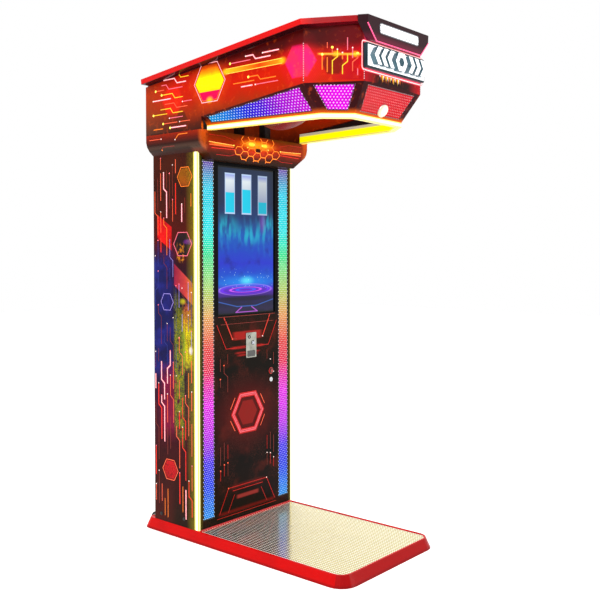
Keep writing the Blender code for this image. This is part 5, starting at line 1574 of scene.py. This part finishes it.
def add_hardware(nose_plane):
    zinc = metal("screw_zinc", (206, 206, 200), (150, 150, 144), 0.26, (1, 1, 1), 0.2)
    black = plastic("cap_black_plastic", (22, 22, 24), (56, 56, 58), 0.5)
    dark = metal("screw_black_oxide", (50, 50, 54), (26, 26, 28), 0.4, (1, 1, 1), 0.2, 0.8)
    caps = []
    for _, sign in SIDES:
        caps += [((sign * 0.320, 0.260, 0.080), (sign, 0, 0)), ((sign * 0.320, 0.100, 0.085), (sign, 0, 0))]
    add_fixings("column_screw_caps", "cabinet", black, scaled_profile(CAP_PROFILE), caps)

    # rivets in the rim frame's underside: along both sides, the slanted corners and the front
    rows = []
    for _, sign in SIDES:
        rows.append(((sign * 0.3085, -0.10), (sign * 0.2560, -0.640), 10))
        rows.append(((sign * 0.246, -0.6640), (sign * 0.170, -0.7400), 3))
    rows.append(((-0.150, -0.7470), (0.150, -0.7470), 6))
    under = 1.8652
    rivets = [
        (p, (0, 0, -1)) for start, end, count in rows for p in along_line((*start, under), (*end, under), count)
    ]
    add_fixings("rim_frame_rivets", "cabinet", zinc, scaled_profile(RIVET_PROFILE, 0.8), rivets)

    plate = [((x, -0.0043, z), FRONT) for x in (-0.0085, 0.0515) for z in (0.8205, 0.9285)]
    add_fixings("coin_plate_screws", "service_door", zinc, scaled_profile(SCREW_PROFILE, 0.8), plate)
    rear = [((x, 0.308, z), BACK) for x in (-0.290, 0.290) for z in (0.07, 0.42, 0.77, 1.12, 1.47, 1.84)]
    rear += [((x, 0.308, z), BACK) for z in (1.84, 0.07) for x in (-0.1, 0.1)]
    add_fixings("rear_panel_screws", "cabinet", dark, scaled_profile(SCREW_PROFILE), rear)

    # a moulded ring round the coin entry, and a dark escutcheon round the return button
    bm = bmesh.new()
    entry = ((4.4, -0.2), (8.4, -0.2), (8.0, 1.4), (6.8, 2.0), (4.9, 1.4))
    escutcheon = ((8.6, -0.2), (11.4, -0.2), (11.0, 0.9), (9.8, 1.3), (8.8, 0.9))
    add_ring(bm, (0.0085, -0.0043, 0.9135), FRONT, scaled_profile(entry))
    add_ring(bm, (0.034, -0.0043, 0.885), FRONT, scaled_profile(escutcheon))
    add_piece("coin_entry_rings", bm, "service_door", [black], smooth_angle=38)

    # a polished ring round the lamp, on the slanted front panel
    lo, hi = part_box("front_lamp")
    middle = (lo + hi) / 2
    bezel = [(24.0, 2.0), (28.6, 2.0), (29.4, 4.5), (28.2, 7.2), (26.0, 8.0), (24.2, 6.4)]
    sunk = 1.9
    bm = bmesh.new()
    above = (middle / MM - nose_plane.origin).dot(nose_plane.normal) * MM
    base = middle - nose_plane.normal * above
    add_ring(bm, base, nose_plane.normal, [(r * MM, (h - sunk) * MM) for r, h in bezel])
    add_piece("lamp_bezel", bm, "cabinet", [zinc], smooth_angle=38)


def add_ring(bm, centre, axis, profile, sides=40):
    """Skins a closed profile of (radius, height) pairs round an axis, as a ring with a hole."""
    axis = Vector(axis).normalized()
    side = axis.orthogonal().normalized()
    up = axis.cross(side)
    sections = []
    for k in range(sides):
        ray = around(side, up, 2 * math.pi * k / sides)
        sections.append([Vector(centre) + ray * r + axis * h for r, h in profile])
    add_solid_strip(bm, sections, closed=True)


def add_edge_trims():
    """Slim beads over the film's joints: down the head's corners and down the corners of its nose."""
    paint = Paint("edge_bead_film", (88, 10, 12))
    # Pale dots along the bead; their glow is painted light.
    paint.lay(paint.z.wave(9).above(0.4, 0.15), (246, 190, 200), 0.7)
    bead = paint.finish(roughness=gloss(paint, 0.3, 0.05, 20), coat=0.3, bump=paint.noise(2), depth=0.02)
    for name, sign in SIDES:
        line = [(sign * 0.3632, -0.6602, 1.994), (sign * 0.3632, -0.6602, 2.150)]
        add_tube(f"head_corner_bead_{name}", line, 0.0016, "cabinet", bead, 10, 0.02)
        line = [(sign * 0.2042, -0.8402, 2.003), (sign * 0.2042, -0.8402, 2.150)]
        add_tube(f"head_nose_bead_{name}", line, 0.0014, "cabinet", bead, 10, 0.02)


def tread_material():
    """Warm rolled aluminium with a fine brushed grain, scuffed where people stand."""
    paint = Paint("tread_rolled_aluminium", (226, 211, 148))
    scuff = paint.noise(150, 5, shift=3).fade(0.42, 0.72)
    paint.lay(scuff * 0.5, (218, 202, 136))
    paint.lay(paint.noise(26, 5, stretch=(1, 2.5, 1), shift=8).fade(0.56, 0.76) * 0.4, (246, 240, 206))
    lines = paint.noise(0.9, 2, stretch=(1, 0.03, 1))
    return paint.finish(
        roughness=lines * 0.06 + gloss(paint, 0.12, 0.04, 60) + scuff * 0.05, metallic=1.0,
        bump=lines + paint.noise(40, 3) * 2, depth=0.012, specular=0.6,
    )


def crest_material():
    """The raised lentils, painted pale and glowing: a painted highlight where they catch the light from above."""
    paint = Paint("tread_crest_painted_highlight", (255, 252, 240))
    paint.lay(paint.noise(60, 4).fade(0.45, 0.75) * 0.4, (246, 240, 214))
    # The glow is part of the painted highlight.
    paint.light = 0.3
    return paint.finish(roughness=gloss(paint, 0.3, 0.06, 30), metallic=0.7, bump=paint.noise(1.4), depth=0.02)


def add_tread_pattern():
    """Raised lentils in straight rows all over the tread plate, pressed up from below."""
    lo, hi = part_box("tread_plate")
    top = hi.z / MM
    bm = bmesh.new()
    column_gap, row_gap, narrow = 15.6, 9.2, 0.8
    columns = int((hi.x - lo.x) / MM / column_gap)
    rows = int((hi.y - lo.y) / MM / row_gap)
    for row in range(rows):
        for column in range(columns):
            u = (lo.x + hi.x) / 2 / MM + (column - (columns - 1) / 2) * column_gap
            v = (lo.y + hi.y) / 2 / MM + (row - (rows - 1) / 2) * row_gap
            if abs(u) > 294 and v < -806:
                continue
            rings = [
                [
                    Vector((u + radius * narrow * math.cos(turn), v + radius * math.sin(turn), top + h)) * MM
                    for turn in (math.pi * k / 5 for k in range(10))
                ]
                for radius, h in ((3.7, -0.1), (3.3, 0.25), (2.4, 0.66), (1.1, 0.9))
            ]
            add_solid_strip(bm, rings)
    return add_piece("tread_pattern", bm, "cabinet", [crest_material()], smooth_angle=50)


def add_threshold():
    """The red strip that closes the joint between the tread plate and the column."""
    paint = Paint("threshold_red_enamel", (206, 8, 10))
    # The strip glows a little: painted light.
    paint.light = 0.25
    paint.lay(paint.noise(20, 4).fade(0.45, 0.75) * 0.5, (150, 4, 8))
    enamel = paint.finish(roughness=gloss(paint, 0.25, 0.06, 20), coat=0.3, bump=paint.noise(2), depth=0.03)
    bm = bmesh.new()
    outline = [(-0.6, 44.1), (-0.6, 50.4), (-1.4, 51.4), (-2.6, 51.0), (-3.8, 49.2), (-4.6, 46.2), (-4.9, 44.1)]
    sections = [[Vector((x, y, z)) * MM for y, z in outline] for x in np.linspace(-308.0, 308.0, 45)]
    add_solid_strip(bm, sections)
    add_piece("threshold_strip", bm, "cabinet", [enamel], smooth_angle=40)


# ---------------------------------------------------------------- the leather ball

ARM_PIVOT = Vector((0.0, -0.620, 2.040))
ARM_DROP = math.radians(5.4)
ARM_WAY = Vector((0.0, math.cos(ARM_DROP), -math.sin(ARM_DROP)))
BALL_FROM, BALL_TO = 0.250, 0.530  # along the arm from its pivot
GORES = 6
LEATHER_SHRINK = 0.962
CLOTH_PRESSURE = 4.0
CLOTH_CAP = 0.008
CLOTH_STEPS = 20
RING_SEAMS = (0.034, 0.252)  # along the ball, one near each end
SEAM_HALF = 0.0028
STITCH_OFF = 0.0042  # from a seam to the stitches on each side of it
THREAD_LIFT = 0.0003


def leather():
    paint = Paint("red_leather", (140, 8, 9))
    grain = paint.cells(2.1)
    creases = paint.cells(2.1, "DISTANCE_TO_EDGE")
    paint.lay(paint.noise(45, 5).fade(0.42, 0.75) * 0.7, (100, 5, 7))
    paint.lay(creases.below(0.06, 0.04) * 0.55, (92, 6, 8))
    rubbed = paint.noise(70, 5, shift=8).fade(0.56, 0.74)
    paint.lay(rubbed * 0.35, (176, 44, 36))
    return paint.finish(
        roughness=gloss(paint, 0.38, 0.08, 30) + creases.below(0.08, 0.05) * 0.2, coat=0.04, specular=0.22,
        bump=creases.least(0.22) * 3 + grain * 0.3, depth=0.16, sheen=0.02,
    )


def freeze(obj):
    """Applies an object's modifiers to its mesh."""
    shape = obj.evaluated_get(bpy.context.evaluated_depsgraph_get())
    mesh = bpy.data.meshes.new_from_object(shape)
    obj.modifiers.clear()
    old, obj.data = obj.data, mesh
    bpy.data.meshes.remove(old)


def points_of(obj):
    co = np.zeros(len(obj.data.vertices) * 3)
    obj.data.vertices.foreach_get("co", co)
    return co.reshape(-1, 3)


def inflate(obj):
    """Blows the leather up as cloth for a moment, so that it fills out between its own edges."""
    before = points_of(obj)
    cloth = obj.modifiers.new("cloth", "CLOTH")
    cloth.settings.use_pressure = True
    cloth.settings.uniform_pressure_force = CLOTH_PRESSURE
    cloth.settings.effector_weights.gravity = 0.0
    cloth.settings.quality = 5
    cloth.settings.tension_stiffness = 40
    cloth.settings.compression_stiffness = 40
    cloth.settings.bending_stiffness = 2.0
    cloth.collision_settings.use_collision = False
    cloth.point_cache.frame_start, cloth.point_cache.frame_end = 1, CLOTH_STEPS
    scene = bpy.context.scene
    for step in range(1, CLOTH_STEPS + 1):
        scene.frame_set(step)
    freeze(obj)
    moved = points_of(obj) - before
    length = np.linalg.norm(moved, axis=1, keepdims=True)
    capped = before + moved * np.minimum(1.0, CLOTH_CAP / np.maximum(length, 1e-9))
    obj.data.vertices.foreach_set("co", capped.ravel())
    scene.frame_set(1)


def ball_places(co):
    """Each point's distance along the ball, radius from its axis, angle round it, and way out from it."""
    rel = co - np.array(ARM_PIVOT + ARM_WAY * BALL_FROM)
    along = rel @ np.array(ARM_WAY)
    flat = rel - along[:, None] * np.array(ARM_WAY)
    side = np.array((1.0, 0.0, 0.0))
    up = np.cross(np.array(ARM_WAY), side)
    return along, np.linalg.norm(flat, axis=1), np.arctan2(flat @ up, flat @ side), flat


def add_ball():
    mesh = NODES["punch_ball"].data.copy()
    mesh.materials.clear()
    ball = bpy.data.objects.new("leather_ball", mesh)
    bpy.context.scene.collection.objects.link(ball)
    co = points_of(ball)
    middle = np.array(ARM_PIVOT + ARM_WAY * (BALL_FROM + BALL_TO) / 2)
    mesh.vertices.foreach_set("co", (middle + (co - middle) * LEATHER_SHRINK).ravel())
    remesh = ball.modifiers.new("remesh", "REMESH")
    remesh.mode = "VOXEL"
    remesh.voxel_size = 0.005
    freeze(ball)
    inflate(ball)
    smooth = ball.modifiers.new("smooth", "CORRECTIVE_SMOOTH")
    smooth.use_only_smooth = True
    smooth.iterations = 6
    smooth.factor = 0.5
    split = ball.modifiers.new("split", "SUBSURF")
    split.levels = 1
    freeze(ball)
    # sewn seams between the gores, and one round each end
    co = points_of(ball)
    along, radius, angle, flat = ball_places(co)
    width = 2 * math.pi / GORES
    off = (np.abs(((angle + width / 2) % width) - width / 2)) * radius
    seam = np.exp(-((off / SEAM_HALF) ** 2)) * np.clip((radius - 0.014) / 0.02, 0, 1)
    pull = 0.0024 * seam
    for ring in RING_SEAMS:
        pull += 0.0020 * np.exp(-(((along - ring) / SEAM_HALF) ** 2))
    puff = 0.0012 * np.sin(np.clip(off / (radius * width / 2 + 1e-6), 0, 1) * math.pi / 2)
    out = flat / np.maximum(radius, 1e-6)[:, None]
    co = co + out * (puff - pull)[:, None]
    ball.data.vertices.foreach_set("co", co.ravel())
    ball.data.materials.append(leather())
    ball.data.shade_smooth()
    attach(ball, "ball_arm")
    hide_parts("punch_ball")

    bm = bmesh.new()
    bm.from_mesh(ball.data)
    skin = BVHTree.FromBMesh(bm)
    bm.free()
    start = ARM_PIVOT + ARM_WAY * BALL_FROM
    side = Vector((1, 0, 0))
    up = ARM_WAY.cross(side)

    def on_skin(distance, turn, lift=THREAD_LIFT):
        """The place on the leather at a distance along the ball and an angle round it."""
        ray = around(side, up, turn)
        centre = start + ARM_WAY * distance
        place, normal, _, _ = skin.ray_cast(centre + ray * 0.3, -ray)
        return place + normal * lift if place else None

    thread = Paint("seam_thread", (228, 214, 190))
    thread.lay(thread.noise(3).fade(0.4, 0.7), (180, 160, 134))
    thread = thread.finish(roughness=gloss(thread, 0.7, 0.08, 5), bump=thread.noise(0.5), depth=0.1)
    bm = bmesh.new()
    for gore in range(GORES):
        turn = width * gore
        for row in (-1, 1):
            for k in range(22):
                distance = 0.044 + k * 0.0094
                a = on_skin(distance, turn)
                if a is None:
                    continue
                spread = row * STITCH_OFF / max(0.03, (a - start - ARM_WAY * distance).length)
                a = on_skin(distance, turn + spread)
                b = on_skin(distance + 0.0052, turn + spread)
                if a and b:
                    add_stitch(bm, a, b, 0.00075)
    for ring in RING_SEAMS:
        for row in (-STITCH_OFF, STITCH_OFF):
            for k in range(48):
                a = on_skin(ring + row, k * math.pi / 24)
                b = on_skin(ring + row, (k + 0.55) * math.pi / 24)
                if a and b and (a - b).length < 0.02:
                    add_stitch(bm, a, b, 0.0007)
    add_piece("ball_stitching", bm, "ball_arm", [thread], smooth_angle=60)

    up_neck = 0.010
    reach = (on_skin(up_neck, 0.3, 0.0) - start - ARM_WAY * up_neck).length
    band = [
        (reach - 0.003, 0.004), (reach + 0.0012, 0.003), (reach + 0.0026, 0.006), (reach + 0.0026, 0.014),
        (reach + 0.001, 0.017), (reach - 0.003, 0.016),
    ]
    bm = bmesh.new()
    add_ring(bm, start, ARM_WAY, band, sides=48)
    hide = Paint("neck_band_leather", (34, 20, 18))
    hide.lay(hide.noise(20, 5).fade(0.45, 0.7) * 0.6, (70, 42, 34))
    hide = hide.finish(roughness=gloss(hide, 0.45, 0.08, 12), bump=hide.cells(1.6), depth=0.12)
    add_piece("ball_neck_band", bm, "ball_arm", [hide], smooth_angle=40)


def add_stitch(bm, start, end, radius):
    """One short stitch: a thread that rises, runs and dives again."""
    way = (end - start).normalized()
    side = way.orthogonal().normalized()
    up = way.cross(side)
    sections = []
    for share, size in ((0.0, 0.35), (0.12, 0.85), (0.5, 1.0), (0.88, 0.85), (1.0, 0.35)):
        centre = start.lerp(end, share)
        sections.append([centre + around(side, up, math.pi * k / 3) * radius * size for k in range(6)])
    add_solid_strip(bm, sections)


# ---------------------------------------------------------------- put it together

add_camera()
add_studio()
coat_plain_parts()
coat_rear_panels()

coat(column_film(), "side_panel_left", "side_panel_right")
coat(head_film(), "head_shell")
coat(front_film(), "front_fascia", "service_door")
coat(collar_film(), "collar")
add_side_prints()
add_front_prints()
add_collar_print()

nose_plane = add_light_panels()
coat_lights()
coat(display_glass(), "screen_cover")
add_sign()
add_visor_neon()

plate = metal("stamped_chrome_plate", (178, 178, 166), (104, 106, 98), 0.2, (0.1, 1, 0.4), 0.3)
coat(plate, "coin_plate")
coat(plastic("return_flap_plastic", (92, 92, 90), (70, 70, 68), 0.3), "coin_return_flap")
coat(tread_material(), "tread_plate")
add_tread_pattern()
add_threshold()
add_hardware(nose_plane)
add_edge_trims()
add_ball()
